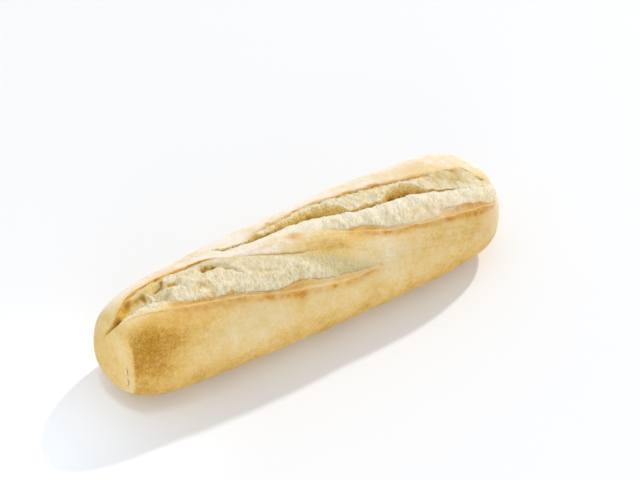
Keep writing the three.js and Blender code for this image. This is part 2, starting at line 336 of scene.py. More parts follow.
# %% [markdown]
# ## The lines of the cuts
# Eight lines run over the top. On the left cut: the ridge behind its ear, the ear's own edge and the far
# lip. On the right cut: ridge, ear edge, the near edge of the crack, the rim of the crack's far wall and
# the far lip. They split the skin into nine lanes. Where the mesh's own edge loops follow these lines, a
# lip can be as sharp and as undercut as a real one, with far fewer faces than an even grid would need.
# Beyond a cut its lines just run on over the crust. Places are in mm round a skin of a plain half girth.

# %% The lines of the cuts
HALF_GIRTH = 90
LINES = {
    "ridge_a": [[-115, -2], [-111, -2.4], [-106, -5], [-101, -5.5], [-90, -9.6], [-70, -15.6],
                [-50, -20.1], [-35, -24.5], [-16, -29], [3, -32.8], [15, -33.6], [28, -33.6], [50, -38],
                [115, -46]],
    "lip_a": [[-115, 0], [-111, -0.6], [-108, -2.8], [-103, -2.2], [-95, -1.7], [-91, -2.6], [-82, -7],
              [-74, -12], [-61, -16.3], [-45, -20.2], [-29, -25.2], [-22, -25], [-13, -25.8], [-6, -28.4],
              [8, -31], [22, -32.4], [28, -32.2], [50, -36.5], [115, -44.5]],
    "far_lip_a": [[-115, 2], [-111, 1.6], [-108.5, -0.4], [-105, 1.2], [-97, 6.8], [-92, 8.9], [-86, 9.1],
                  [-80, 10.2], [-68, 8], [-53, 6.2], [-40, 0.4], [-15, -10.8], [0, -15.2], [15, -21.5],
                  [25, -26.8], [31, -31], [50, -35], [115, -43]],
    "ridge_b": [[-115, 4], [-80, 17], [-60, 11], [-44, 3], [-20, -2.5], [0, -7.5], [20, -14.4],
                [35, -19.5], [55, -23.2], [85, -27.6], [96, -29.4], [104, -32.2], [115, -35]],
    "lip_b": [[-115, 6], [-80, 19], [-60, 13], [-44, 4.4], [-20, -0.7], [0, -6], [20, -13.2], [25, -14],
              [36, -18.4], [45, -21], [64, -23.8], [69, -22.4], [78, -23.5], [86, -25.1], [95, -27.6],
              [99, -30.2], [115, -34]],
    "crack_b": [[-115, 12], [-80, 23], [-60, 18], [-46, 11.5], [-40, 6.5], [-30, 3.7], [-20, 2.6],
                [-2, 2.1], [10, -0.9], [25, -5.3], [40, -7.6], [55, -9], [65, -11.3], [79, -14.9],
                [115, -20.5]],
    "rim_b": [[-115, 14], [-80, 25], [-60, 20], [-46, 13], [-40, 8.8], [-34, 7.4], [-28, 6.2], [-23, 7.8],
              [-19, 6], [0, 8.6], [10, 9.2], [18, 6.4], [22, 3.6], [25.5, -3], [36, -3.8], [42, -5.2],
              [47, -2.8], [50, -0.6], [55, -0.4], [60, -1.8], [65, -5.6], [68, -9.4], [79, -13.6],
              [115, -19]],
    "far_lip_b": [[-115, 20], [-80, 29], [-60, 22], [-46, 14.5], [-38, 9], [-30, 7.4], [-15, 9.7], [8, 11],
                  [20, 10], [46, 5], [60, 1], [90, -3.6], [95, -5], [99, -12], [115, -17]],
}
RAGGED = {"ridge_a": 0.1, "lip_a": 0.55, "far_lip_a": 0.25, "ridge_b": 0.1, "lip_b": 0.5, "crack_b": 0.4,
          "rim_b": 0.8, "far_lip_b": 0.3}
LEAST_GAP = 1
WANDER = (4.5, 1, 0.3, 0)
TEETH = [(3.1, 1, 0.5, 1), (1.7, 1, 0.5, 1), (1.0, 1, 0.45, 1)]
lines = {name: drawn(points) for name, points in LINES.items()}


def lines_at(x):
    """Places of the lines at each station, in order round the section, from underside to underside."""
    places = [np.full_like(x, -HALF_GIRTH)]
    for number, (name, line) in enumerate(lines.items()):
        torn = 0
        for tooth in TEETH:
            torn = torn + uneven(x, number + tooth[0], tooth)
        place = line(x) + uneven(x, number, WANDER) + RAGGED[name] * torn
        places.append(np.maximum(place, places[-1] + LEAST_GAP))
    places.append(np.full_like(x, HALF_GIRTH))
    return places


print(len(lines), "lines over the top of the loaf")

# %% [markdown]
# ## Heights along the left cut
# Each lane's height over the plain loaf is blended from what happens at its two edges and in its middle,
# and each of those heights is again a curve along the loaf, in mm. At the left the cut is a sunken groove
# with a steep far wall. Then its crust curls up into an ear, and the crumb behind it swells from a lower
# foot. A sculpted mesh could show this too, but nobody could read a height from it.

# %% Heights along the left cut
ridge_height_a = drawn([[-110, 0], [-104, -0.2], [-92, 0.5], [-80, 1], [-45, 1.3], [0, 1.1], [24, 0.5],
                        [31, 0]])
lip_height_a = drawn([[-112, 0], [-107, -1.4], [-98, -2.2], [-90, -1.2], [-82, 0.7], [-70, 1.3], [-30, 1.3],
                      [-20, 1.7], [-10, 1.3], [0, 0.8], [22, 0.4], [31, 0]])
foot_a = drawn([[-115, 0], [-112, -0.6], [-109, -2.4], [-104, -4.2], [-94, -4.6], [-84, -2], [-70, -0.3],
                [-20, 0.6], [0, 0.2], [20, 0.1], [31, 0]])
crumb_a = drawn([[-78, 0], [-64, 1.5], [-34, 2.2], [-12, 1.2], [8, 0.2], [31, 0]])
floor_a = drawn([[-115, 0], [-112, -0.6], [-109, -2.4], [-105, -4], [-98, -5], [-90, -4.6], [-83, -2.8],
                 [-77, -1.5], [-70, 0]])
far_foot_a = drawn([[-110, 0], [-106, -0.3], [-98, -0.5], [-56, -0.4], [-44, 0.1], [-30, 0.2], [-16, 0.2],
                    [-4, 0.3], [8, 0.4], [30, 0]])
far_edge_a = drawn([[-115, 0], [-108, 0.1], [-98, 0.2], [-44, 0.2], [-28, 0.3], [-16, 0.35], [-4, 0.4],
                    [8, 0.4], [30, 0]])
grooved = drawn([[-82, 1], [-74, 0]])
groove_wall = drawn([[-115, 0.3], [-104, 0.4], [-98, 0.56], [-88, 0.6], [-80, 0.7]])
print("left ear at its highest:", lip_height_a(-20), "mm over the plain loaf")

# %% [markdown]
# ## Heights along the strip and the right cut
# The strip of crust between the cuts swells into a low lobe. Along the right cut a thick roll of crumb
# rises behind the ear, the crack drops away beside it, and the crack's far wall climbs to a rim. The
# crack is widest and deepest in two hollows, and almost closed between them.

# %% Heights along the strip and the right cut
strip = drawn([[-60, 0], [-25, 0.3], [5, 0.9], [28, 0.4], [60, 0]])
ridge_height_b = drawn([[-46, 0], [-30, 0.8], [-8, 1.7], [6, 1.7], [20, 0.9], [60, 1], [96, 1], [108, 0]])
lip_height_b = drawn([[-46, 0], [-30, 0.8], [-8, 1.7], [6, 1.7], [18, 1], [32, 1.3], [42, 0.9], [66, 0.9],
                      [74, 1.3], [85, 1.5], [96, 1], [108, 0]])
foot_b = drawn([[-46, 0], [-30, 0.8], [-8, 1.7], [4, 1.5], [18, 0], [36, 0.1], [46, 0.7], [65, 0.7],
                [85, 0.8], [98, 0.4], [108, 0]])
roll_b = drawn([[-46, 0], [-30, 0.9], [0, 1.9], [40, 2.4], [60, 2.4], [84, 1.6], [108, 0.5], [115, 0]])
crack_depth = drawn([[-47, 0], [-42, 1.2], [-30, 2.8], [-23, 3.4], [-14, 4.4], [4, 6.6], [18, 6.4],
                     [26, 3.2], [34, 2.6], [38, 3.4], [43, 4], [49, 6.6], [55, 7.6], [63, 7], [69, 2.4],
                     [80, 1], [86, 0]])
rim_height = drawn([[-46, 0], [-30, 0.4], [0, 1], [25, 1.2], [60, 1.4], [85, 0.9], [106, 0]])
far_foot_b = drawn([[-34, 0], [-15, -0.2], [60, -0.2], [78, 0], [92, 0.1], [105, 0]])
far_edge_b = drawn([[-38, 0], [-14, 0.5], [50, 0.6], [78, 0.4], [92, 0.3], [105, 0]])
print("crack at its deepest:", crack_depth(55), "mm")

# %% [markdown]
# ## What each place is
# The finish needs to know what it lies on: crust, bare crumb, smooth skin that had no time to brown, a
# toasted edge, or an ochre wall deep in a tear. Some masks also carry painted shade, in gaps and under
# lips, and painted highlight, on ridges and rims. Masks could be painted on the finished mesh, but they
# are made in the same lanes as the heights, so colour can't drift away from shape. The curves here say
# how strong each is along the loaf.

# %% Masks along the left cut
bare_a = drawn([[-113, 0], [-110, 1], [24, 1], [32, 0]])
crisp_a = drawn([[-88, 0], [-79, 1], [14, 1], [26, 0.7], [32, 0]])
rolled_a = drawn([[-106, 0], [-99, 1], [-88, 1], [-80, 0]])
crest_highlight_a = drawn([[-84, 0], [-78, 0.7], [-40, 1], [-4, 0.8], [14, 0.3], [26, 0]])
flake_a = drawn([[-83, 0], [-78, 1], [-60, 0.9], [-48, 0.5], [-30, 0.5], [-20, 0.7], [-12, 0.5], [-4, 0.4],
                 [12, 0.3], [30, 0]])
brow_a = drawn([[-66, 0], [-58, 1], [-25, 1], [-15, 0]])
brow_reach = drawn([[-58, 2], [-45, 4], [-35, 6], [-25, 5.5], [-15, 3.5]])
skin_edge = drawn([[-45, 6], [-25, -6], [-18, -14], [-12, -22], [0, -38]])
crisp_far_a = drawn([[-115, 0], [-106, 0.6], [-98, 1.3], [-52, 1.1], [-44, 0.15], [-30, 0.2], [-16, 0.35],
                     [-6, 0.2], [8, 0]])
browned_far_a = drawn([[-115, 0], [-104, 1], [-54, 1], [-44, 0]])
far_shade_a = drawn([[-56, 0], [-44, 0.2], [-8, 0.8], [4, 0.4], [14, 0]])
print("bare crumb near the left cut's tip:", bare_a(28))

# %% [markdown]
# ## The same for the right cut
# Its crumb fades in slowly from the strip. A torn skirt of thin skin covers the roll behind the ear's
# right half, and the ledge behind the crack turns more golden towards the right end.

# %% Masks along the right cut
bare_b = drawn([[-48, 0], [-42, 1], [102, 1], [110, 0.5], [113.5, 0]])
bare_ledge = drawn([[-24, 0], [-12, 1], [102, 1], [110, 0.5], [113.5, 0]])
bare_roll = drawn([[-14, 0], [0, 0.3], [14, 1], [102, 1], [110, 0.6], [113.5, 0]])
crisp_b = drawn([[12, 0], [20, 1], [97, 1], [106, 0.3], [115, 0]])
crest_highlight_b = drawn([[14, 0], [22, 0.8], [90, 1], [99, 0.5], [106, 0]])
flake_b = drawn([[16, 0], [22, 1], [34, 0.9], [42, 0.2], [65, 0.15], [72, 0.6], [79, 1], [86, 1.3],
                 [96, 0.8], [104, 0]])
skirt_b = drawn([[44, 0], [54, 0.9], [86, 0.9], [97, 0]])
base_share = drawn([[-25, 0.9], [-8, 0.6], [115, 0.55]])
ledge_ochre = drawn([[20, 0.1], [30, 0.09], [44, 0.13], [60, 0.12], [76, 0.18], [100, 0.22], [115, 0.1]])
crisp_far_b = drawn([[-32, 0], [-18, 0.36], [46, 0.8], [66, 0.9], [78, 0.45], [90, 0.4], [97, 0.35],
                     [104, 0]])
print("skirt of skin at its fullest:", skirt_b(70))

# %% [markdown]
# ## The nine lanes
# One function to each lane gives its height and its masks. `t` runs from 0 to 1 across the lane, and the
# distances to its two edges are in mm. Both ears are the same thing with other curves: crust that climbs
# to a ridge, dips, and curls up to a thin edge that toasts first. A sideways shift lets the ears
# overhang, which gives the dark line under them.

# %% What both ears share
EAR_REACH = 4.5
RIM_REACH = 1.2
RIM_SHARE = 0.6
EAR_DIP = 0.4
OVERHANG = 0.5
UNDER_RIM = 0.68
TOAST_REACH = 2.2
EDGE_TOAST = 0.55
LIP_TOAST = 0.45
FLAKE_BROWN = 0.12
CREST_REACH = 0.32
CREST_HIGHLIGHT = 0.2
LIP_HIGHLIGHT = 0.3
LIP_HIGHLIGHT_REACH = 0.5
EAR_A = {"ridge": ridge_height_a, "lip": lip_height_a, "crisp": crisp_a, "crest": crest_highlight_a, "flake": flake_a}
EAR_B = {"ridge": ridge_height_b, "lip": lip_height_b, "crisp": crisp_b, "crest": crest_highlight_b, "flake": flake_b}


def arch(t):
    """1 in the middle of a lane and 0 at its edges."""
    return 4 * t * (1 - t)


def rim(distance):
    """The climb of crust to a thin rim: a broad swelling with a narrow crest."""
    return (1 - RIM_SHARE) * bell(distance, EAR_REACH) + RIM_SHARE * bell(distance, RIM_REACH)


def toast_below(ear, x, distance):
    """Toast on the crust just below an ear's ridge."""
    return UNDER_RIM * ear["crisp"](x) * bell(distance - RIM_REACH, TOAST_REACH)


def ear_relief(ear, x, t, from_start, to_end):
    """An ear from its ridge to its edge, with wider flakes where it is torn."""
    ridge = ear["ridge"](x)
    crest = ear["crest"](x)
    flake = ear["flake"](x)
    edge = bell(to_end, LIP_HIGHLIGHT_REACH)
    return {
        "height": ridge + (ear["lip"](x) - ridge) * t**2 - EAR_DIP * ear["crisp"](x) * arch(t),
        "shift": OVERHANG * flake * t**2,
        "toast": flake * (EDGE_TOAST * arch(t) + LIP_TOAST * edge),
        # Painted highlight: along the ridge and the edge the brown is lowered and the crest laid on, where
        # thin crust catches the key light.
        "brown_and_highlight": FLAKE_BROWN * flake - CREST_HIGHLIGHT * crest * bell(to_end, CREST_REACH),
        "crest": crest * (bell(from_start, CREST_REACH) + LIP_HIGHLIGHT * edge),
    }


print("rim at its edge:", rim(0), "of its height")

# %% [markdown]
# ## The near flank and the left ear
# At the left end the flank turns into the groove as a plump bare roll. From there on it ends in the ear.

# %% The near flank and the left ear
RIDGE_TOAST = 1.0
TOAST_LINE = 0.5
ROLL_CRUST = 0.5


def near_crust(x, around, t, from_start, to_end):
    """The near flank, from the underside up to the ridge behind the left ear."""
    toast = toast_below(EAR_A, x, to_end) + RIDGE_TOAST * rolled_a(x) * bell(to_end, TOAST_LINE)
    # The crest along the ridge is a painted highlight.
    crest = crest_highlight_a(x) * bell(to_end, CREST_REACH)
    return {"height": ridge_height_a(x) * rim(to_end), "toast": toast, "crest": crest}


def ear_of_cut_a(x, around, t, from_start, to_end):
    """The edge of the near flank: a plump roll at the left, then a thin ear with two wider flakes."""
    relief = ear_relief(EAR_A, x, t, from_start, to_end)
    relief["bare"] = rolled_a(x) * eased(t / ROLL_CRUST)
    return relief


left_ear = ear_of_cut_a(-20.0, 0, np.linspace(0, 1, 5), np.linspace(0, 4, 5), np.linspace(4, 0, 5))
print("heights across the left ear:", left_ear["height"].round(2).tolist())

# %% [markdown]
# ## The web across the groove
# A thin arched web of crust bridges the groove at the left. It could be an object of its own, but it
# grows out of the groove's wall, so it is relief: a lumpy ring on the skin, torn off at its left.

# %% The web across the groove
WEB = {"x": -91, "round": 1.4, "radius": 6, "thick": 0.7, "from": -97, "fade": 4, "top": -2.2, "rise": 0.3}
WEB_LUMPS = (1.6, 1.6, 0.25, 10)


def since(x, change):
    """0 to 1 along the loaf, from where a change starts."""
    return eased((x - change["from"]) / change["fade"])


def web_of_crust(x, around):
    """1 on the arched web across the groove, 0 off it."""
    ring = np.hypot(x - WEB["x"], around - WEB["round"]) - WEB["radius"]
    web = grooved(x) * bell(ring, WEB["thick"]) * since(x, WEB)
    return np.clip(web * (1 - WEB_LUMPS[2] + uneven(x, around, WEB_LUMPS)), 0, 1)


print("web at its crown:", web_of_crust(WEB["x"], WEB["round"] + WEB["radius"]).round(2))

# %% [markdown]
# ## Inside the left cut
# The left end of this cut is a groove with a torn golden wall. Then the crumb swells. At the right it
# sinks under smooth skin, which curls where it begins and closes up in a tip. Three pieces would show
# their joins; in one lane each fades into the next along the loaf.

# %% Inside the left cut
EDGE_POWER = 4
GROOVE_SHELF = 0.94
WEB_PALE = 0.3
WEB_TEAR = 0.5
SKIN_STEP = 9
SKIN_DROP = 0.6
CURL = 0.35
CURL_REACH = 2
CLOSING = {"from": -12, "fade": 14, "reach": 5, "tip": 8, "tip_fade": 25}
WALL_TORN = (2.5, 2.5, 0.2, 8)
WALL_FADE_A = 0.3
FLOOR_SKIN = {"share": 0.5, "from": -104, "fade": 5}
CREAMY = {"share": 0.45, "from": -94, "fade": 5}
GROOVE_STRANDS = 0.5
CRUMB_OCHRE = 0.04
EAR_SHADE_A = 0.4
FAR_SHADE_REACH = 1.3
FAR_LINE = 0.7
CREASE = 0.6
CREASE_LINE = 0.8


def crumb_of_cut_a(x, around, t, from_start, to_end):
    """The left cut: a groove with a golden far wall, then swelling torn crumb, then smooth pale skin."""
    start = (1 - t) ** EDGE_POWER
    end = t**EDGE_POWER
    inside = 1 - start - end
    swelling = foot_a(x) * start + crumb_a(x) * inside + far_foot_a(x) * end
    climb = eased((t - groove_wall(x)) / (GROOVE_SHELF - groove_wall(x)))
    groove = floor_a(x) + (far_foot_a(x) - floor_a(x)) * climb
    height = swelling + (groove - swelling) * grooved(x)
    web = web_of_crust(x, around)
    height = np.maximum(height + WEB["rise"] * web, height + (WEB["top"] - height) * web)

    smooth = bare_a(x) * eased((x - skin_edge(around)) / SKIN_STEP)
    tip = CLOSING["reach"] + CLOSING["tip"] * eased(x / CLOSING["tip_fade"])
    closing = since(x, CLOSING) * eased(1 - to_end / tip)
    height = height - SKIN_DROP * smooth * (1 - closing)
    height = height + CURL * bell(x - skin_edge(around), CURL_REACH) * inside

    wall = eased((t - groove_wall(x) + uneven(x, around, WALL_TORN)) / WALL_FADE_A + 0.5)
    floor_skin = FLOOR_SKIN["share"] * grooved(x) * (1 - wall) * (1 - web) * since(x, FLOOR_SKIN)
    creamy = CREAMY["share"] * since(x, CREAMY)
    shade = EAR_SHADE_A * bell(from_start, TOAST_LINE) * crisp_a(x)
    shade = shade + far_shade_a(x) * bell(to_end, FAR_SHADE_REACH)
    crease = CREASE * flake_a(x) * bell(from_start, CREASE_LINE)
    return {
        "height": height,
        "bare": bare_a(x) * (1 - closing),
        "smooth": np.maximum(smooth, floor_skin),
        "calm": brow_a(x) * within(to_end, brow_reach(x)),
        "toast": crisp_far_a(x) * bell(to_end, FAR_LINE) + crease,
        "ochre_and_shade": CRUMB_OCHRE + shade,
        "pale_and_highlight": WEB_PALE * web,
        "tear": grooved(x) * wall * (1 - WEB_TEAR * web) * (1 - creamy),
        "strands": (1 - smooth) * (1 - GROOVE_STRANDS * grooved(x)),
        "open": grooved(x),
    }


LEFT_LANES = [near_crust, ear_of_cut_a, crumb_of_cut_a]
print(len(LEFT_LANES), "lanes for the left cut")

# %% [markdown]
# ## The strip, the right ear and the far flank
# The strip between the cuts is crust that was pulled long, so it has faint streaks that lean with it. The
# far flank is the plainest lane: it only lifts a little to its toasted lip.

# %% The strip, the right ear and the far flank
LIP_REACH = 5
FAR_BROWN = 0.15
FAR_REACH = 3.5
FAR_LIP_LINE = 1.0
STREAKS = (16, 1.3, 0.09, 6)
STREAK_LEAN = 0.25


def bridging_strip(x, around, t, from_start, to_end):
    """The strip of crust that is left between the cuts and swells into a lobe."""
    climb = crisp_b(x) * rim(to_end) + (1 - crisp_b(x)) * eased(t)
    edges = far_edge_a(x) * bell(from_start, LIP_REACH) + ridge_height_b(x) * climb
    streaks = uneven(x, around + STREAK_LEAN * x, STREAKS)
    return {
        "height": strip(x) * arch(t) + edges,
        "toast": crisp_far_a(x) * bell(from_start, FAR_LINE) + toast_below(EAR_B, x, to_end),
        # The crest along the right ear's ridge is a painted highlight.
        "crest": crest_highlight_b(x) * bell(to_end, CREST_REACH),
        "brown_and_highlight": FAR_BROWN * browned_far_a(x) * bell(from_start, FAR_REACH) + streaks,
    }


def ear_of_cut_b(x, around, t, from_start, to_end):
    """The toasted ear on the near side of the right cut, with a wider flake near each end."""
    return ear_relief(EAR_B, x, t, from_start, to_end)


def far_crust(x, around, t, from_start, to_end):
    """The far flank, from the far lip of the right cut down to the underside."""
    toast = crisp_far_b(x) * bell(from_start, FAR_LIP_LINE)
    brown_and_highlight = FAR_BROWN * crisp_far_b(x) * bell(from_start, FAR_REACH)
    return {"height": far_edge_b(x) * bell(from_start, LIP_REACH), "toast": toast, "brown_and_highlight": brown_and_highlight}


print("far lip's toast at its middle:", far_crust(46.0, 0, 0, 0.0, 0)["toast"].round(2))

# %% [markdown]
# ## The roll of crumb
# The roll is the brightest part of the loaf. Its paleness along the crack is painted highlight, where the
# key light falls on its top. Behind the ear's right half a torn skirt of skin lies over it, golden in
# patches, which an object of its own couldn't join so softly. The skirt's paleness is partly painted
# light, since it faces away from the key light.

# %% The roll of crumb
ROLL_EDGE_SHARE = 0.75
STRIP_EDGE = 0.45
ROLL_OCHRE = -0.05
EAR_SHADE_B = 0.25
CRACK_EDGE_HIGHLIGHT = 0.62
HIGHLIGHT_REACH = 4.5
CALMER = {"share": 0.5, "from": 60, "fade": 20}
SKIRT = {"reach": 3, "cover": 0.7, "pale_and_highlight": 0.4, "tear": 0.6}
SKIRT_TORN = (4, 3, 1, 5)
SKIRT_GOLD = (3.4, 1.7, 0.65, 9)


def roll_of_cut_b(x, around, t, from_start, to_end):
    """The roll of crumb along the near side of the right cut, which fades into the strip at its left."""
    start = (1 - t) ** EDGE_POWER
    crest = roll_b(x) * (1 - (1 - ROLL_EDGE_SHARE) * t**EDGE_POWER)
    torn = SKIRT["reach"] * uneven(x, around, SKIRT_TORN)
    skirt = skirt_b(x) * within(from_start - torn, SKIRT["reach"])
    bare = bare_roll(x) + (bare_b(x) - bare_roll(x)) * eased((t - STRIP_EDGE) / (1 - STRIP_EDGE))
    bare = bare * (1 - SKIRT["cover"] * skirt)
    lively = 1 - CALMER["share"] * since(x, CALMER)
    return {
        "height": crest * (1 - start) + foot_b(x) * start,
        "bare": bare,
        "ochre_and_shade": ROLL_OCHRE + EAR_SHADE_B * crisp_b(x) * bell(from_start, TOAST_LINE),
        "strands": bare * lively,
        "brown_and_highlight": skirt * uneven(x, around, SKIRT_GOLD),
        "toast": CREASE * flake_b(x) * bell(from_start, CREASE_LINE),
        # Painted highlight along the crack's edge; the skirt's paleness is partly painted light.
        "pale_and_highlight": CRACK_EDGE_HIGHLIGHT * lively * bare_b(x) * bell(to_end, HIGHLIGHT_REACH) + SKIRT["pale_and_highlight"] * skirt,
        "tear": SKIRT["tear"] * skirt,
    }


across_roll = roll_of_cut_b(40.0, 0, np.linspace(0, 1, 5), np.linspace(0, 12, 5), np.linspace(12, 0, 5))
print("heights across the roll:", across_roll["height"].round(2).tolist())

# %% [markdown]
# ## The crack and the ledge
# The crack's far wall is rough and ochre, and painted darker towards its base: painted shade deep in the
# crack, where little light reaches. A boolean cut would leave clean walls; here the wall is a lane of its
# own, so it can be torn. Past its right end the crack closes to a crease. The ledge of crumb runs from the
# wall's rim, which has a painted highlight, back to the far lip.

# %% The crack and the ledge
CRACK_FLOOR = 0.22
CRACK_CLOSES = {"from": 79, "fade": 6}
TORN_DEPTH = 1.5
WALL_OCHRE = 0.02
WALL_FADE = 0.3
BASE_SHADE = 0.78
BASE_LEAST = 0.85
BASE_UNEVEN = (4.2, 2.5, 0.35, 7)
LEDGE_WIDENS = {"from": -4, "fade": 14}
LEDGE_PLAIN = {"from": 56, "fade": 14}
LEDGE_TEAR = 0.06
NARROW_TEAR = 0.6
RIM_HIGHLIGHT = 0.4
RIM_LINE = 0.9
LIP_OCHRE = 0.5
LIP_OCHRE_REACH = 1.2


def wall_of_cut_b(x, around, t, from_start, to_end):
    """The crack: a narrow floor, and a rough ochre wall that climbs to its rim."""
    climb = eased((t - CRACK_FLOOR) / (1 - CRACK_FLOOR))
    low = -crack_depth(x) + (ROLL_EDGE_SHARE * roll_b(x) + crack_depth(x)) * since(x, CRACK_CLOSES)
    torn = eased(crack_depth(x) / TORN_DEPTH)
    # Painted shade: the wall is darkest at its base and lightens as it climbs.
    base = BASE_SHADE * bell(t, base_share(x)) * (BASE_LEAST + uneven(x, around, BASE_UNEVEN))
    return {
        "height": low + (rim_height(x) - low) * climb,
        "bare": bare_b(x),
        "ochre_and_shade": torn * (WALL_OCHRE - WALL_FADE * t + base),
        "tear": torn * (1 - t**EDGE_POWER),
        "open": 1,
    }


def ledge_of_cut_b(x, around, t, from_start, to_end):
    """The ledge of crumb from the crack's rim to the far lip."""
    end = t**EDGE_POWER
    narrow = 1 - since(x, LEDGE_WIDENS)
    tear = LEDGE_TEAR * (1 - since(x, LEDGE_PLAIN)) + NARROW_TEAR * narrow
    return {
        "height": rim_height(x) * (1 - end) + far_foot_b(x) * end,
        "bare": bare_ledge(x),
        "ochre_and_shade": ledge_ochre(x) + LIP_OCHRE * crisp_far_b(x) * bell(to_end, LIP_OCHRE_REACH),
        "toast": crisp_far_b(x) * bell(to_end, FAR_LIP_LINE),
        # A painted highlight along the rim of the crack's far wall.
        "pale_and_highlight": RIM_HIGHLIGHT * (1 - narrow) * bare_ledge(x) * bell(from_start, RIM_LINE),
        "tear": bare_ledge(x) * tear,
        "open": 1,
    }


RIGHT_LANES = [bridging_strip, ear_of_cut_b, roll_of_cut_b, wall_of_cut_b, ledge_of_cut_b, far_crust]
LANES = LEFT_LANES + RIGHT_LANES
print(len(LANES), "lanes round the loaf")

# %% [markdown]
# ## The grid of the skin
# Stations run along the loaf, evenly in the middle and then in even steps of turn round each blunt end,
# where even steps of length would leave the ends faceted. Columns run round it, crowded at the lines. A
# narrow gap between two lanes becomes the steep wall from one edge to the other.

# %% The grid
MIDDLE_SPAN = 0.8
MIDDLE_STATIONS = 426
CAP_STATIONS = 34
LANE_COLUMNS = [36, 6, 48, 20, 6, 30, 18, 14, 24]
SIDE_CROWDING = 1.4
WALL_GAP = 0.25
LAYOUT = ["height", "shift", "bare", "smooth", "toast", "ochre_and_shade", "strands", "calm", "open", "brown_and_highlight",
          "crest", "tear", "pale_and_highlight"]


def cap_shares(blunt):
    """Stations round one blunt end, as shares of half the length."""
    first = math.asin(MIDDLE_SPAN ** (blunt / 2))
    turns = np.linspace(first, math.pi / 2, CAP_STATIONS + 2)[1:-1]
    return np.sin(turns) ** (2 / blunt)


def lane_shares(lane):
    """Places of a lane's columns across it, closest together at the lines."""
    t = np.linspace(0, 1, LANE_COLUMNS[lane])
    if lane == 0:
        return 1 - (1 - t) ** SIDE_CROWDING
    if lane == len(LANES) - 1:
        return t[:-1] ** SIDE_CROWDING
    return (t + (1 - np.cos(t * np.pi)) / 2) / 2


middle_shares = np.linspace(-MIDDLE_SPAN, MIDDLE_SPAN, MIDDLE_STATIONS)
caps = [-cap_shares(LEFT_BLUNTNESS)[::-1], cap_shares(RIGHT_BLUNTNESS)]
stations = np.concatenate([caps[0], middle_shares, caps[1]])[:, None] * LENGTH / 2
places = lines_at(stations)
parts = {name: [] for name in ["round", *LAYOUT]}
for lane, relief in enumerate(LANES):
    first = places[lane] + (WALL_GAP / 2 if lane > 0 else 0)
    last = places[lane + 1] - (WALL_GAP / 2 if lane < len(LANES) - 1 else 0)
    share = lane_shares(lane)
    around = first + (last - first) * share
    found = relief(stations, around, share + 0 * around, around - first, last - around)
    parts["round"].append(around)
    for name in LAYOUT:
        parts[name].append(np.broadcast_to(found.get(name, 0.0), around.shape))
grid = {name: np.concatenate(part, axis=1) for name, part in parts.items()}
around = grid["round"]
print("skin grid:", around.shape, "stations by columns")

# %% [markdown]
# ## Torn crumb, pores and uneven crust
# Close up, bare crumb is drawn into strands that run across the cut and lean a little, with lumps between
# them, and the walls of the tears are rough like a broken sponge. The crust only swells and sinks a
# little. All of this is added to the height, since a bump in the finish alone would leave the outline of
# a torn edge smooth.

# %% Fine relief
STRANDS = [(1.6, 5, 0.12, 3), (0.95, 5, 0.18, 4)]
STRAND_LEAN = 0.12
STRAND_BEND = (9, 9, 1.5, 2)
LUMPS = [(5, 5, 0.8, 5), (2.2, 2.2, 0.2, 9)]
SPONGE = (1.7, 1.7, 0.8, 6)
CRUST_HILLS = [(16, 16, 0.35, 7), (3, 3, 0.09, 8)]
TORN_ROUGH = 0.4
CALM_SMOOTH = 0.8
leaning = stations - STRAND_LEAN * around
bend = uneven(stations, around, STRAND_BEND)
strands = sum(uneven(leaning + kind[0] * bend, around, kind) for kind in STRANDS)
lumps = sum(uneven(stations, around, kind) for kind in LUMPS)
sponge = uneven(stations, around, SPONGE)
crust_hills = sum(uneven(stations, around, kind) for kind in CRUST_HILLS)
rough = grid["bare"] * (1 - grid["smooth"]) * (1 - CALM_SMOOTH * grid["calm"])
sponginess = np.clip(grid["ochre_and_shade"] + TORN_ROUGH * grid["open"], 0, 1)
fine_relief = rough * (grid["strands"] * strands + lumps + sponge * sponginess) + (1 - rough) * crust_hills
total_height = grid["height"] + fine_relief
print("fine relief from", fine_relief.min().round(2), "to", fine_relief.max().round(2), "mm")

# %% [markdown]
# ## Pits, creases and the corner of the blunt end
# A few things have no line of their own: a pit in the crumb, two pockets, a crease or two, and the soft
# corner where the blunt left end was pressed flat against its neighbour in the oven. Each could be cut by
# hand, but an oval on the skin does: place along and round, turn in degrees, length, width and depth. A
# ridge or a corner is a mark with negative depth.

# %% Marks
STEEPNESS = 1.4
MARKS = [
    (-55, 0, -18, 4, 2.1, 2.5), (-79.5, 4.6, -10, 3, 2.4, 1.6), (-73, 0.5, -20, 3.2, 1.2, 1.1),
    (-79, -3.5, 30, 2.4, 1.4, 1.1), (-61, -8.5, -20, 4, 2.2, 1), (-66, -3, -30, 5, 1.2, -0.6),
    (-30, -15, -20, 6, 1, 0.6), (-48, -2.5, -40, 4, 1.4, 1.6), (-45, -7, -47, 5, 0.8, 0.9),
    (38, -3.6, 0, 2, 1.4, 1.2), (44, -33, -14, 4.5, 0.5, 0.22), (90, 17, 0, 6, 1.8, 1),
    (-107, -42, 90, 18, 1.8, -0.7),
]


def soft_spot(x, place, turn, long, wide):
    """1 in the middle of an oval on the skin, fading to 0 round it."""
    cosine = math.cos(math.radians(turn))
    sine = math.sin(math.radians(turn))
    along = (stations - x) * cosine + (around - place) * sine
    across = (around - place) * cosine - (stations - x) * sine
    return bell(along, long) * bell(across, wide)


def spotted(spots):
    """The sum of soft spots, each written as an oval and its strength."""
    return sum(much * soft_spot(*oval) for *oval, much in spots)


for *oval, deep in MARKS:
    total_height = total_height - deep * eased(STEEPNESS * soft_spot(*oval))
print(len(MARKS), "marks")

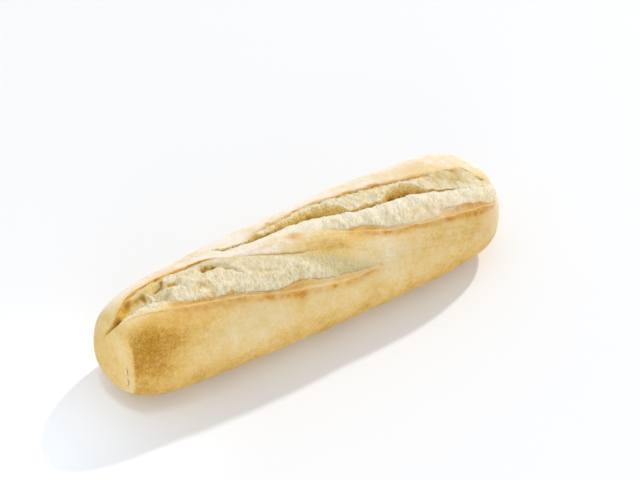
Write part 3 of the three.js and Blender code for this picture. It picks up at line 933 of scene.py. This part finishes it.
# %% [markdown]
# ## The crack in the blunt end
# Where the blunt end dried out, its skin has split in one short crack, far narrower than a face of the
# mesh. A mask of its darkness would blur over whole faces. The distance from the crack grows evenly
# across them instead, so it is stored as it is, and the finish draws a line as thin as it likes wherever
# that distance is near nothing.

# %% The end crack
END_CRACK = {"x": -109.9, "round": -45, "half_long": 13, "wide": 0.6, "deep": 0.5, "lean": 0.012}
from_middle = around - END_CRACK["round"]
split_across = stations - END_CRACK["x"] - END_CRACK["lean"] * from_middle
split_along = np.clip(2 - 2 * np.abs(from_middle) / END_CRACK["half_long"], 0, 1)
total_height = total_height - END_CRACK["deep"] * split_along * bell(split_across, END_CRACK["wide"])
print("end crack:", 2 * END_CRACK["half_long"], "mm long")

# %% [markdown]
# ## From heights to points
# Each point starts on the plain loaf and moves out along that surface's own normal. A displace modifier
# would do that too, but not the sideways shift of the ears. The normal is measured by small steps along
# and round the loaf. Where the loaf sat on the tray its points are pressed to one flat plane.

# %% Points of the loaf
STEP_ALONG = 0.05
STEP_ROUND = 0.004
FLAT_CUT = 1

place = (around + grid["shift"] + sponge * rough * grid["ochre_and_shade"]) / HALF_GIRTH
inward = np.where(stations > 0, -1, 1)
base = skin(stations, place)
across = skin(stations, place + STEP_ROUND) - skin(stations, place - STEP_ROUND)
along = (skin(stations + inward * STEP_ALONG, place) - base) * inward[..., None]
outward = np.cross(along, across)
outward /= np.linalg.norm(outward, axis=-1, keepdims=True)
points = base + outward * total_height[..., None]
points[..., 2] = np.maximum(points[..., 2] - FLAT_CUT, 0)
print("height of the loaf:", round(points[..., 2].max(), 1), "mm")

# %% [markdown]
# ## The mesh
# The rows of points become a closed mesh: quads between neighbouring stations, and a fan of triangles to
# one point at each end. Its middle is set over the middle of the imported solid, which it replaces.

# %% The mesh
count = points.shape[1]
ends = loaf_points(np.array([-LENGTH / 2, LENGTH / 2]), np.zeros(2)) - [0, 0, FLAT_CUT]
vertices = np.concatenate([points.reshape(-1, 3), ends])
middle = (vertices.max(axis=0) + vertices.min(axis=0)) / 2
vertices[:, :2] -= middle[:2]

columns = np.arange(count)
following = (columns + 1) % count
row = (np.arange(len(stations) - 1) * count)[:, None]
next_row = row + count
quads = np.stack([row + columns, next_row + columns, next_row + following, row + following], axis=-1)
left_end = len(stations) * count
last_row = left_end - count
fans = [(left_end, int(a), int(b)) for a, b in zip(columns, following)]
fans += [(left_end + 1, last_row + int(b), last_row + int(a)) for a, b in zip(columns, following)]
faces = [tuple(quad) for quad in quads.reshape(-1, 4).tolist()] + fans

loaf_mesh = bpy.data.meshes.new("baked_loaf")
loaf_mesh.from_pydata((vertices * MM).tolist(), [], faces)
loaf_mesh.shade_smooth()
loaf = bpy.data.objects.new("baked_loaf", loaf_mesh)
scene.collection.objects.link(loaf)
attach(loaf, "root")
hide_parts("loaf")
print("loaf:", len(vertices), "points,", 2 * quads[..., 0].size + len(fans), "triangles")

# %% [markdown]
# ## Browning and painted highlight of the crust
# The oven browns a loaf unevenly: golden low on the flanks, brown at the near left corner. Its paleness on
# top and behind is partly the crust's own colour and partly painted highlight, where the key light burns
# the far edge out. The blunt left end is tan, with a crisp border at its corner, and the right end browns
# from its foot up. A texture could be painted, but these are curves and soft ovals, so they stay in reach.
# An oval of negative strength is a paler patch: most are floured, but those on the right tip and on the
# skirt behind the right ear are painted light, which lifts faces the lamps leave dim. A shoulder keeps the
# brown corner from going flat.

# %% Browning and painted highlight of the crust
browning_and_top_highlight = drawn([[-56, 0.7], [-42, 0.5], [-16, 0.5], [-4, 0.1], [5, 0.07], [13, 0.07], [22, 0.02],
                    [28, 0.12], [37, 0.32], [56, 0.55], [90, 0.6]])
BROWNED_AND_PAINTED_LIGHT = [
    (-105, -32, 0, 12, 22, 0.38), (-92, -25, -15, 17, 13, 0.26), (-70, -30, -20, 22, 12, 0.15),
    (92, -40, 0, 40, 14, 0.06), (5, -13, -20, 13, 5, 0.2), (-105, 8, 0, 7, 8, 0.25),
    (70, 6, -20, 18, 6, 0.22), (56, -19, -30, 4, 1.5, 0.2), (67, -21.5, -25, 4, 1.5, 0.2),
    (-62, 15, 0, 8, 5, 0.12), (-98, -34, -10, 13, 12, 0.19), (100, 1, 0, 6, 5, 0.15),
    (-12, -3, -15, 12, 4, 0.1), (20, -34, -10, 40, 8, -0.12), (-52, -36, -10, 26, 12, -0.2),
    # Painted light: the pale ovals at 107 on the right tip and at 70 on the skirt lift faces the lamps
    # leave dim.
    (107, -34, 90, 18, 12, -0.5), (30, -24, -15, 12, 6, -0.25), (-38, 1, -20, 14, 5, -0.09),
    (70, -21, -8, 24, 4, -0.52), (36, -31, 0, 6, 4, -0.1),
]
MOTTLES = [(14, 14, 0.12, 9), (5, 5, 0.08, 10), (2, 2, 0.06, 11)]
END_BROWN = 0.57
END_PALE = 0.15
END_PALE_AT = -109.5
END_PALE_REACH = 1.8
END_STREAKS = (1.2, 14, 0.07, 2)
corner_at = drawn([[-60, -108.4], [-48, -108.2], [-35, -107.6], [-22, -106.4], [-14, -107], [0, -109]])
corner_width = drawn([[-30, 1.2], [-18, 2.5], [0, 7]])
BROWN_SHOULDER = 0.62
BROWN_ROOM = 0.36
RIGHT_END = {"from": 106, "fade": 7}
right_brown = drawn([[0, 0.62], [14, 0.52], [26, 0.42], [38, 0.28], [54, 0.12]])

brown_and_highlight = browning_and_top_highlight(around) + spotted(BROWNED_AND_PAINTED_LIGHT) + grid["brown_and_highlight"]
brown_and_highlight = brown_and_highlight + sum(uneven(stations, around, kind) for kind in MOTTLES)
end_brown = END_BROWN - END_PALE * bell(stations - END_PALE_AT, END_PALE_REACH)
end_brown = end_brown + uneven(stations, around, END_STREAKS)
front = eased((stations - corner_at(around)) / corner_width(around))
brown_and_highlight = end_brown + (brown_and_highlight - end_brown) * np.where(stations < 0, front, 1)
over = np.maximum(brown_and_highlight - BROWN_SHOULDER, 0)
brown_and_highlight = np.minimum(brown_and_highlight, BROWN_SHOULDER) + BROWN_ROOM * np.tanh(over / BROWN_ROOM)
right_mottle = sum(uneven(points[..., 1], points[..., 2], kind) for kind in MOTTLES)
brown_and_highlight = brown_and_highlight + (right_brown(points[..., 2]) + right_mottle - brown_and_highlight) * since(stations, RIGHT_END)
print("browning:", brown_and_highlight.mean().round(2), "on the whole")

# %% [markdown]
# ## Toast
# Thin crust scorches first, so spots of toast sit along the lips and ears, and a few on the strip and the
# right flank. Noise alone would strew them evenly; a baker would see that at once. So each is an oval.

# %% Toast
TOAST_LEAST = 0.85
TOAST_UNEVEN = (5, 2.5, 0.5, 11)
TOASTED = [
    (-72, -20, -13, 22, 3.5, 0.12), (-95, -13, -20, 8, 3, 0.06), (-66, -15.3, -15, 5, 0.8, 0.5),
    (-60, -14.4, -10, 1.6, 0.8, 0.8), (-51, -17.2, 60, 1.4, 0.6, 0.8), (-35, -25.4, -15, 2.8, 1.6, 0.8),
    (-27, -28, -15, 2.5, 1.2, 0.5), (-20, -30.8, -10, 4, 1.8, 0.8), (-18.5, -33.5, 70, 3, 1.8, 0.6),
    (0, -33.2, -5, 3.6, 1, 0.6), (10, -34, 0, 2.6, 0.9, 0.5), (19, -34.5, 0, 2.6, 1, 0.6),
    (27, -33.4, 0, 1.3, 0.8, 0.5), (-18, -26.6, -5, 5, 1.1, 0.5), (20, -14, -20, 1.4, 1, 1),
    (28, -17.3, -20, 2.6, 1, 0.7), (36, -20.3, -15, 2.2, 1, 0.9), (50, -23, -10, 5, 0.9, 0.6),
    (75, -26.8, -8, 6, 1.4, 0.8), (90, -29.8, -8, 7.5, 1.8, 0.9), (85, -25.2, -10, 5, 0.7, 0.8),
    (103, -31.3, 0, 1.7, 1.2, 0.6), (-24, 6.6, 0, 2.6, 1.4, 0.6), (-12.5, 11.6, 0, 1.7, 1.3, 0.9),
    (3.5, 11.7, 0, 2.1, 1.1, 0.9), (15.5, 11.6, 0, 3, 1, 0.8), (32.5, 8.7, -15, 2.6, 1, 0.8),
    (46, 6.3, -15, 3.6, 1.1, 0.9), (56, 3, -15, 4, 0.9, 0.5), (67, 0.8, -8, 5, 0.9, 0.7),
    (-8, -4.8, -10, 3.6, 2.2, 0.85), (14, -6, 0, 1.3, 0.9, 0.4), (62, -20.5, -35, 2.5, 0.8, 0.4),
    (89, 17.3, 0, 3, 1.1, 0.7), (53.5, -18.6, 35, 2.6, 0.8, 0.4), (60, -17.4, -30, 3.4, 1.1, 0.3),
    (66, -20, -25, 3.4, 0.9, 0.28), (71, -21.2, -10, 3, 0.8, 0.28), (83, -31.5, -8, 6, 2.6, 0.3),
    (93, -33, -8, 5, 3, 0.2), (94, -44, 30, 5, 4, 0.22), (82, -40, 60, 5, 3, 0.16),
]
toast = grid["toast"] * (TOAST_LEAST + uneven(stations, around, TOAST_UNEVEN)) + spotted(TOASTED)
print(len(TOASTED), "spots of toast")

# %% [markdown]
# ## Ochre and painted shade in the crumb
# Bare crumb is cream where it stands out and darker in its pits, tears and gaps. Part of that is the
# crumb's own ochre and part is painted shade, where real shade would fall. So the valleys between the
# strands and lumps of the relief get painted shade, and the deep places have ovals of their own, partly
# ochre and partly painted shade. Its flecks are read some way along their layers, so that they don't
# repeat the hills of the relief.

# %% Ochre and painted shade in the crumb
OCHRE_AND_SHADE_SPOTS = [
    (-95, -6.5, -15, 7, 2.4, 0.25), (-57.3, -0.2, -20, 1.6, 1.8, 0.5), (-54, 0.8, -20, 3, 1.8, 0.5),
    (-51, -1.2, -40, 2.2, 1.3, 0.6), (-46.5, -5, -47, 4.5, 1, 0.4), (-106, -1, 20, 4.2, 2.4, 0.55),
    (-100.5, 3.2, 30, 5, 1.4, 0.52), (-96.6, 5.6, 0, 1.8, 0.9, 0.6), (-88.4, 3.6, 70, 2.4, 1.3, 0.8),
    (-92, 6, 0, 3, 1, 0.5), (-80.6, 4.6, 0, 2.8, 0.9, 0.75), (-77, 5.8, 60, 1.8, 1.2, 0.75),
    (-78.5, -3, 40, 1.6, 1, 0.4), (-73, 1.2, -20, 4, 1.6, 0.5), (-61, -8, -20, 4.5, 2.4, 0.28),
    (-66, 3, -10, 3, 1.4, 0.3), (-60, -13.5, -10, 2.5, 1.2, 0.4), (-51, -17, -15, 2.5, 1.2, 0.5),
    (-30, -15, -20, 6, 1.2, 0.25), (54, -17.4, -5, 3, 1, 0.35), (38, -6, 0, 2.5, 1.6, 0.6),
    (49.5, -5, 20, 2.2, 1.8, 0.6), (84, -10.5, 10, 4, 1.4, 0.2), (72, -13.3, -18, 3.4, 0.8, 0.5),
    (80, -15.6, 15, 2, 0.7, 0.5), (-110.5, 1, 60, 2.5, 1.2, 0.3), (92, -6.4, -10, 4, 1.6, 0.15),
    (-34, 5, -14, 6, 1.1, 0.45), (-19, 4, -3, 8, 1.1, 0.45), (55, -6, -12, 7.5, 2.4, 0.7),
    (-88.6, 1.4, 70, 2.2, 1.2, 0.5), (-86, 6.4, 0, 4, 1.6, 0.3), (11, 3.8, -22, 8, 1.7, 0.66),
    (-2, 5, 0, 6, 1.4, 0.6), (-12, 4.6, 0, 6, 1.2, 0.5), (31, -5.2, -10, 6, 1, 0.5),
]
FLECKS = [(6.5, 6.5, 0.12, 6), (3.2, 3.2, 0.18, 7), (1.3, 1.3, 0.16, 8)]
FLECK_SHIFT = 40
STRAND_SHADE = 0.3
LUMP_SHADE = 0.12
PLAIN_SKIN = 0.6
# Painted shade: the ochre deepens in the valleys between strands and lumps.
ochre_and_shade = grid["ochre_and_shade"] - STRAND_SHADE * strands * grid["strands"] - LUMP_SHADE * lumps
ochre_and_shade = ochre_and_shade + sum(uneven(stations + FLECK_SHIFT * kind[0], around, kind) for kind in FLECKS)
ochre_and_shade = ochre_and_shade + spotted(OCHRE_AND_SHADE_SPOTS)
ochre_and_shade = ochre_and_shade * (1 - PLAIN_SKIN * np.clip(grid["smooth"] + grid["calm"], 0, 1))
print("ochre over a half on", round(float((ochre_and_shade > 0.5).mean()), 3), "of the grid")

# %% [markdown]
# ## Masks on the mesh
# The finish reads its masks from the mesh as point attributes, which need no image and no unwrapping. Two
# are added here: patches of smooth skin in the crumb, and the rosy crest along the ears and right end,
# which is painted highlight where thin ridges catch the key light.
# The last attribute is the place that fibres of crumb are drawn over: squeezed round the loaf, so that
# they come out long across a cut, but not in open tears.

# %% Masks on the mesh
SKIN_SPOTS = [(84, -7.5, -20, 7, 4, 1.0), (76, -5, -20, 4, 2, 0.4), (-20, -21, -20, 14, 5, 0.35)]
ROSE_SPOTS = [(99, -35, 90, 11, 7, 0.35), (75, 9, -10, 25, 8, 0.2)]
ROSE_HIGHLIGHT = 0.65
CREST_LEAST = 0.7
CREST_UNEVEN = (4, 1, 1, 4)
CREST_ROW = 3.5
FAR_OFF = 9
FIBRE_SHARE = 0.22


def add_mask(name, values, at_left, at_right):
    """Write a mask to the points of the mesh, with its values at the two end points."""
    flat = np.concatenate([values.ravel(), [at_left, at_right]]).astype(np.float32)
    attribute = loaf_mesh.attributes.new(name, "FLOAT", "POINT")
    attribute.data.foreach_set("value", flat)
    print("mask", name, "from", round(float(flat.min()), 2), "to", round(float(flat.max()), 2))


crest = ROSE_HIGHLIGHT * grid["crest"] * (CREST_LEAST + uneven(stations, CREST_ROW, CREST_UNEVEN))
masks = {
    "bare": grid["bare"], "smooth": grid["smooth"] + spotted(SKIN_SPOTS), "toast": toast, "ochre_and_shade": ochre_and_shade,
    "brown_and_highlight": brown_and_highlight, "calm": grid["calm"], "tear": grid["tear"], "pale_and_highlight": grid["pale_and_highlight"],
    "split_along": split_along, "crest": crest + spotted(ROSE_SPOTS),
}
for name, values in masks.items():
    values = np.clip(values, 0, 1)
    add_mask(name, values, values[0].mean(), values[-1].mean())
add_mask("split_across", split_across, -FAR_OFF, FAR_OFF)

grain_across = around * (FIBRE_SHARE + (1 - FIBRE_SHARE) * grid["open"])
grain_place = np.stack([leaning, grain_across, 0 * around], axis=-1).reshape(-1, 3)
grain_place = np.concatenate([grain_place, [[-LENGTH / 2, 0, 0], [LENGTH / 2, 0, 0]]])
grain_attribute = loaf_mesh.attributes.new("grain_place", "FLOAT_VECTOR", "POINT")
grain_attribute.data.foreach_set("vector", grain_place.astype(np.float32).ravel())

# %% [markdown]
# ## The baked finish
# One material covers the loaf, since crust fades into crumb with no edge at the tips of the cuts. Nodes
# could be placed by hand in the editor; these helpers place them from code, each returning the socket
# that the next one takes. Colours are named as they look on screen and turned into the linear values that
# Blender mixes.

# %% Helpers for nodes
GAMMA = {"knee": 0.04045, "slope": 12.92, "offset": 0.055, "power": 2.4}
finish = bpy.data.materials.new("baked_bread")
finish.use_nodes = True
tree = finish.node_tree
shader = tree.nodes["Principled BSDF"]


def paint(red, green, blue):
    """A screen colour, 0 to 255, as the linear colour that a node socket takes."""
    screen = np.array([red, green, blue]) / 255
    curved = ((screen + GAMMA["offset"]) / (1 + GAMMA["offset"])) ** GAMMA["power"]
    linear = np.where(screen <= GAMMA["knee"], screen / GAMMA["slope"], curved)
    return (*linear.tolist(), 1.0)


def add_node(kind, inputs, **settings):
    """A node with its settings, and its inputs set to values or joined to other nodes' outputs."""
    node = tree.nodes.new(kind)
    for name, value in settings.items():
        setattr(node, name, value)
    for name, value in inputs.items():
        if isinstance(value, bpy.types.NodeSocket):
            tree.links.new(value, node.inputs[name])
        else:
            node.inputs[name].default_value = value
    return node


def mask_node(name, output="Fac"):
    """The output of a node that reads one of the loaf's attributes."""
    return add_node("ShaderNodeAttribute", {}, attribute_name=name).outputs[output]


def noise_node(coordinates, kind):
    """Noise over the given coordinates, with its scale in waves to a unit of them."""
    return add_node("ShaderNodeTexNoise", {"Vector": coordinates, **kind}).outputs["Fac"]


def math_node(operation, *values, clamp=False):
    """One step of arithmetic on outputs of nodes and numbers."""
    numbered = dict(enumerate(values))
    return add_node("ShaderNodeMath", numbered, operation=operation, use_clamp=clamp).outputs[0]


def stirred(value, noise, amount):
    """The value with noise of plus or minus half the amount added to it, kept from 0 to 1."""
    centred = math_node("MULTIPLY_ADD", noise, amount, -amount / 2)
    return math_node("ADD", value, centred, clamp=True)


def ramp_node(value, stops):
    """Screen colours along a value from 0 to 1."""
    node = add_node("ShaderNodeValToRGB", {"Fac": value})
    ramp = node.color_ramp
    while len(ramp.elements) < len(stops):
        ramp.elements.new(0.5)
    for element, (position, colour) in zip(ramp.elements, stops):
        element.position = position
        element.color = paint(*colour)
    return node.outputs["Color"]


def mix_node(factor, below, above):
    """One colour laid over another as far as the factor says."""
    node = add_node("ShaderNodeMix", {"Factor": factor}, data_type="RGBA")
    sockets = [socket for socket in node.inputs if socket.type == "RGBA"]
    tree.links.new(below, sockets[0])
    tree.links.new(above, sockets[1])
    return [socket for socket in node.outputs if socket.type == "RGBA"][0]


print("white paint:", paint(255, 255, 255))

# %% [markdown]
# ## Colour of the crust
# Crust runs from straw to brown with the mask of browning and painted highlight, whose palest end is near
# white. Real crust is also blotched and speckled, so two noises stir the mask before it picks a colour,
# which keeps the mottling in the crust's own colours.

# %% Colour of the crust
BLOTCHES = {"Scale": 350, "Detail": 3, "Roughness": 0.6}
SPECKLE = {"Scale": 1000, "Detail": 4, "Roughness": 0.7}
BLOTCH_AMOUNT = 0.25
SPECKLE_AMOUNT = 0.65
CRUST_COLOURS = [(0.0, (255, 246, 230)), (0.2, (244, 222, 182)), (0.38, (240, 215, 158)),
                 (0.55, (237, 203, 130)), (0.75, (224, 180, 94)), (0.92, (195, 145, 52)),
                 (1.0, (180, 131, 40))]
solid_place = add_node("ShaderNodeTexCoord", {}).outputs["Object"]
blotches = noise_node(solid_place, BLOTCHES)
speckle = noise_node(solid_place, SPECKLE)
browning = stirred(stirred(mask_node("brown_and_highlight"), blotches, BLOTCH_AMOUNT), speckle, SPECKLE_AMOUNT)
crust_colour = ramp_node(browning, CRUST_COLOURS)
print(len(CRUST_COLOURS), "crust colours")

# %% [markdown]
# ## Wrinkles in the crust
# As the loaf cools its crust shrinks into a net of fine pale wrinkles, in patches. They are too thin for
# the mesh. The edges of a Voronoi pattern make such a net, bent by the blotches so that no line is
# straight, and a broad noise picks the patches.

# %% Wrinkles in the crust
WRINKLE_SCALE = 300
WRINKLE_BEND = (0.004, 0.004, 0.004)
WRINKLE_LINES = [(0.0, (165, 165, 165)), (0.07, (0, 0, 0))]
WRINKLE_PATCHES = {"Scale": 120, "Detail": 2, "Roughness": 0.5}
PATCH_EDGE = [(0.48, (0, 0, 0)), (0.62, (255, 255, 255))]
WRINKLE_COLOURS = [(0.3, (252, 236, 204)), (1.0, (224, 186, 116))]
bending = {0: blotches, 1: WRINKLE_BEND, 2: solid_place}
bent = add_node("ShaderNodeVectorMath", bending, operation="MULTIPLY_ADD").outputs["Vector"]
netting = {"Vector": bent, "Scale": WRINKLE_SCALE}
net = add_node("ShaderNodeTexVoronoi", netting, feature="DISTANCE_TO_EDGE").outputs["Distance"]
wrinkle_lines = ramp_node(net, WRINKLE_LINES)
wrinkle_patches = ramp_node(noise_node(solid_place, WRINKLE_PATCHES), PATCH_EDGE)
wrinkle_cover = math_node("MULTIPLY", wrinkle_lines, wrinkle_patches)
crust_colour = mix_node(wrinkle_cover, crust_colour, ramp_node(mask_node("brown_and_highlight"), WRINKLE_COLOURS))
print("wrinkles about", round(1 / (WRINKLE_SCALE * MM), 1), "mm apart")

# %% [markdown]
# ## Colours of the crumb
# Crumb is fibres of cream, with pores and clumps. Its brow by the far lip is calmer, its smooth skin
# greyer and its torn walls a bright yellow. Each is a ramp over the same fibres, so that the grain runs on
# from one to the next. Ochre and painted shade lie over all of them, with an edge that the fibres break
# up; the darkest colours are painted shade deep in the crack.

# %% Colours of the crumb
FIBRES = {"Scale": 1.5, "Detail": 4, "Roughness": 0.7}
PORES = {"Scale": 1300, "Detail": 3, "Roughness": 0.6}
CLUMPS = {"Scale": 300, "Detail": 2, "Roughness": 0.5}
PORE_AMOUNT = 0.4
CLUMP_AMOUNT = 0.25
SKIN_PORES = 0.5
BROW_CLUMPS = 0.5
OCHRE_PORES = 0.5
OCHRE_FIBRES = 0.6
FIBRE_COLOURS = [(0.28, (198, 181, 134)), (0.48, (237, 222, 184)), (0.66, (255, 250, 228))]
BROW_COLOURS = [(0.3, (214, 196, 148)), (0.7, (242, 229, 196))]
SKIN_COLOURS = [(0.28, (192, 176, 124)), (0.72, (236, 219, 170))]
TEAR_COLOURS = [(0.3, (178, 130, 30)), (0.5, (248, 202, 82)), (0.7, (255, 244, 158))]
OCHRE_AND_SHADE_COLOURS = [(0.2, (230, 194, 106)), (0.5, (202, 160, 64)), (0.78, (166, 126, 44)),
                 (1.0, (100, 74, 20))]
OCHRE_EDGE = [(0.1, (0, 0, 0)), (0.6, (255, 255, 255))]
fibres = noise_node(mask_node("grain_place", "Vector"), FIBRES)
pores = noise_node(solid_place, PORES)
clumps = noise_node(solid_place, CLUMPS)
porous = stirred(fibres, pores, PORE_AMOUNT)
crumb_colour = ramp_node(stirred(porous, clumps, CLUMP_AMOUNT), FIBRE_COLOURS)
crumb_layers = {
    "calm": ramp_node(stirred(fibres, clumps, BROW_CLUMPS), BROW_COLOURS),
    "smooth": ramp_node(stirred(fibres, pores, SKIN_PORES), SKIN_COLOURS),
    "tear": ramp_node(porous, TEAR_COLOURS),
}
for name, colour in crumb_layers.items():
    crumb_colour = mix_node(mask_node(name), crumb_colour, colour)
ochre_and_shade_cover = ramp_node(stirred(mask_node("ochre_and_shade"), fibres, OCHRE_FIBRES), OCHRE_EDGE)
ochre_and_shade_colour = ramp_node(stirred(mask_node("ochre_and_shade"), pores, OCHRE_PORES), OCHRE_AND_SHADE_COLOURS)
crumb_colour = mix_node(ochre_and_shade_cover, crumb_colour, ochre_and_shade_colour)
print(len(crumb_layers) + 1, "layers over the crumb")

# %% [markdown]
# ## Crust, crumb and what lies over both
# Crumb shows through the crust where it is bare. Over both lie, in this order: pale patches and painted
# highlight on rims and along the crack, toast, and the rosy crest, a painted highlight along the ridges.
# Bread is dull: a rough surface with little shine.

# %% Crust, crumb and what lies over both
PALE_AND_HIGHLIGHT_COLOURS = [(0.3, (240, 228, 200)), (0.6, (255, 250, 236))]
TOAST_COLOURS = [(0.35, (206, 144, 54)), (0.65, (238, 188, 98))]
ROSE_HIGHLIGHT_COLOURS = [(0.35, (240, 188, 124)), (0.65, (252, 214, 168))]
ROUGHNESS = 0.6
SHINE = 0.15
layers = {
    "bare": crumb_colour,
    "pale_and_highlight": ramp_node(fibres, PALE_AND_HIGHLIGHT_COLOURS),
    "toast": ramp_node(blotches, TOAST_COLOURS),
    "crest": ramp_node(speckle, ROSE_HIGHLIGHT_COLOURS),
}
bread_colour = crust_colour
for name, colour in layers.items():
    bread_colour = mix_node(mask_node(name), bread_colour, colour)
shader.inputs["Roughness"].default_value = ROUGHNESS
shader.inputs["Specular IOR Level"].default_value = SHINE
print(len(layers), "layers over the crust")

# %% [markdown]
# ## The line of the end crack
# The crack in the blunt end is a dark hair line, broken here and there. It is drawn where the stored
# distance, moved by some noise so that the line wanders, is near nothing.

# %% The line of the end crack
SPLIT_WIDTH = 0.24
SPLIT_WANDER = 1.6
SPLIT_LINE = [(SPLIT_WIDTH / 2, (255, 255, 255)), (SPLIT_WIDTH, (0, 0, 0))]
SPLIT_GAPS = [(0.42, (110, 110, 110)), (0.5, (235, 235, 235))]
SPLIT_COLOURS = [(0.3, (112, 84, 40)), (0.7, (146, 114, 64))]
wandering = math_node("MULTIPLY_ADD", clumps, SPLIT_WANDER, mask_node("split_across"))
off_line = math_node("ABSOLUTE", math_node("SUBTRACT", wandering, SPLIT_WANDER / 2))
broken_line = math_node("MULTIPLY", ramp_node(off_line, SPLIT_LINE), ramp_node(blotches, SPLIT_GAPS))
split_cover = math_node("MULTIPLY", broken_line, mask_node("split_along"))
bread_colour = mix_node(split_cover, bread_colour, ramp_node(pores, SPLIT_COLOURS))
tree.links.new(bread_colour, shader.inputs["Base Color"])
print("end crack's line:", SPLIT_WIDTH, "mm wide")

# %% [markdown]
# ## Fine grain
# What is finer than the mesh is left to a bump: pin-prick blisters on the crust, and fibres on the crumb.

# %% Bump
BUMP_STRENGTH = 0.8
BUMP_DISTANCE = 0.0006
grains = {"Factor": mask_node("bare"), "A": speckle, "B": fibres}
grain = add_node("ShaderNodeMix", grains, data_type="FLOAT").outputs["Result"]
bumps = {"Strength": BUMP_STRENGTH, "Distance": BUMP_DISTANCE, "Height": grain}
bump = add_node("ShaderNodeBump", bumps).outputs["Normal"]
tree.links.new(bump, shader.inputs["Normal"])
loaf_mesh.materials.append(finish)
print("finish:", len(tree.nodes), "nodes")
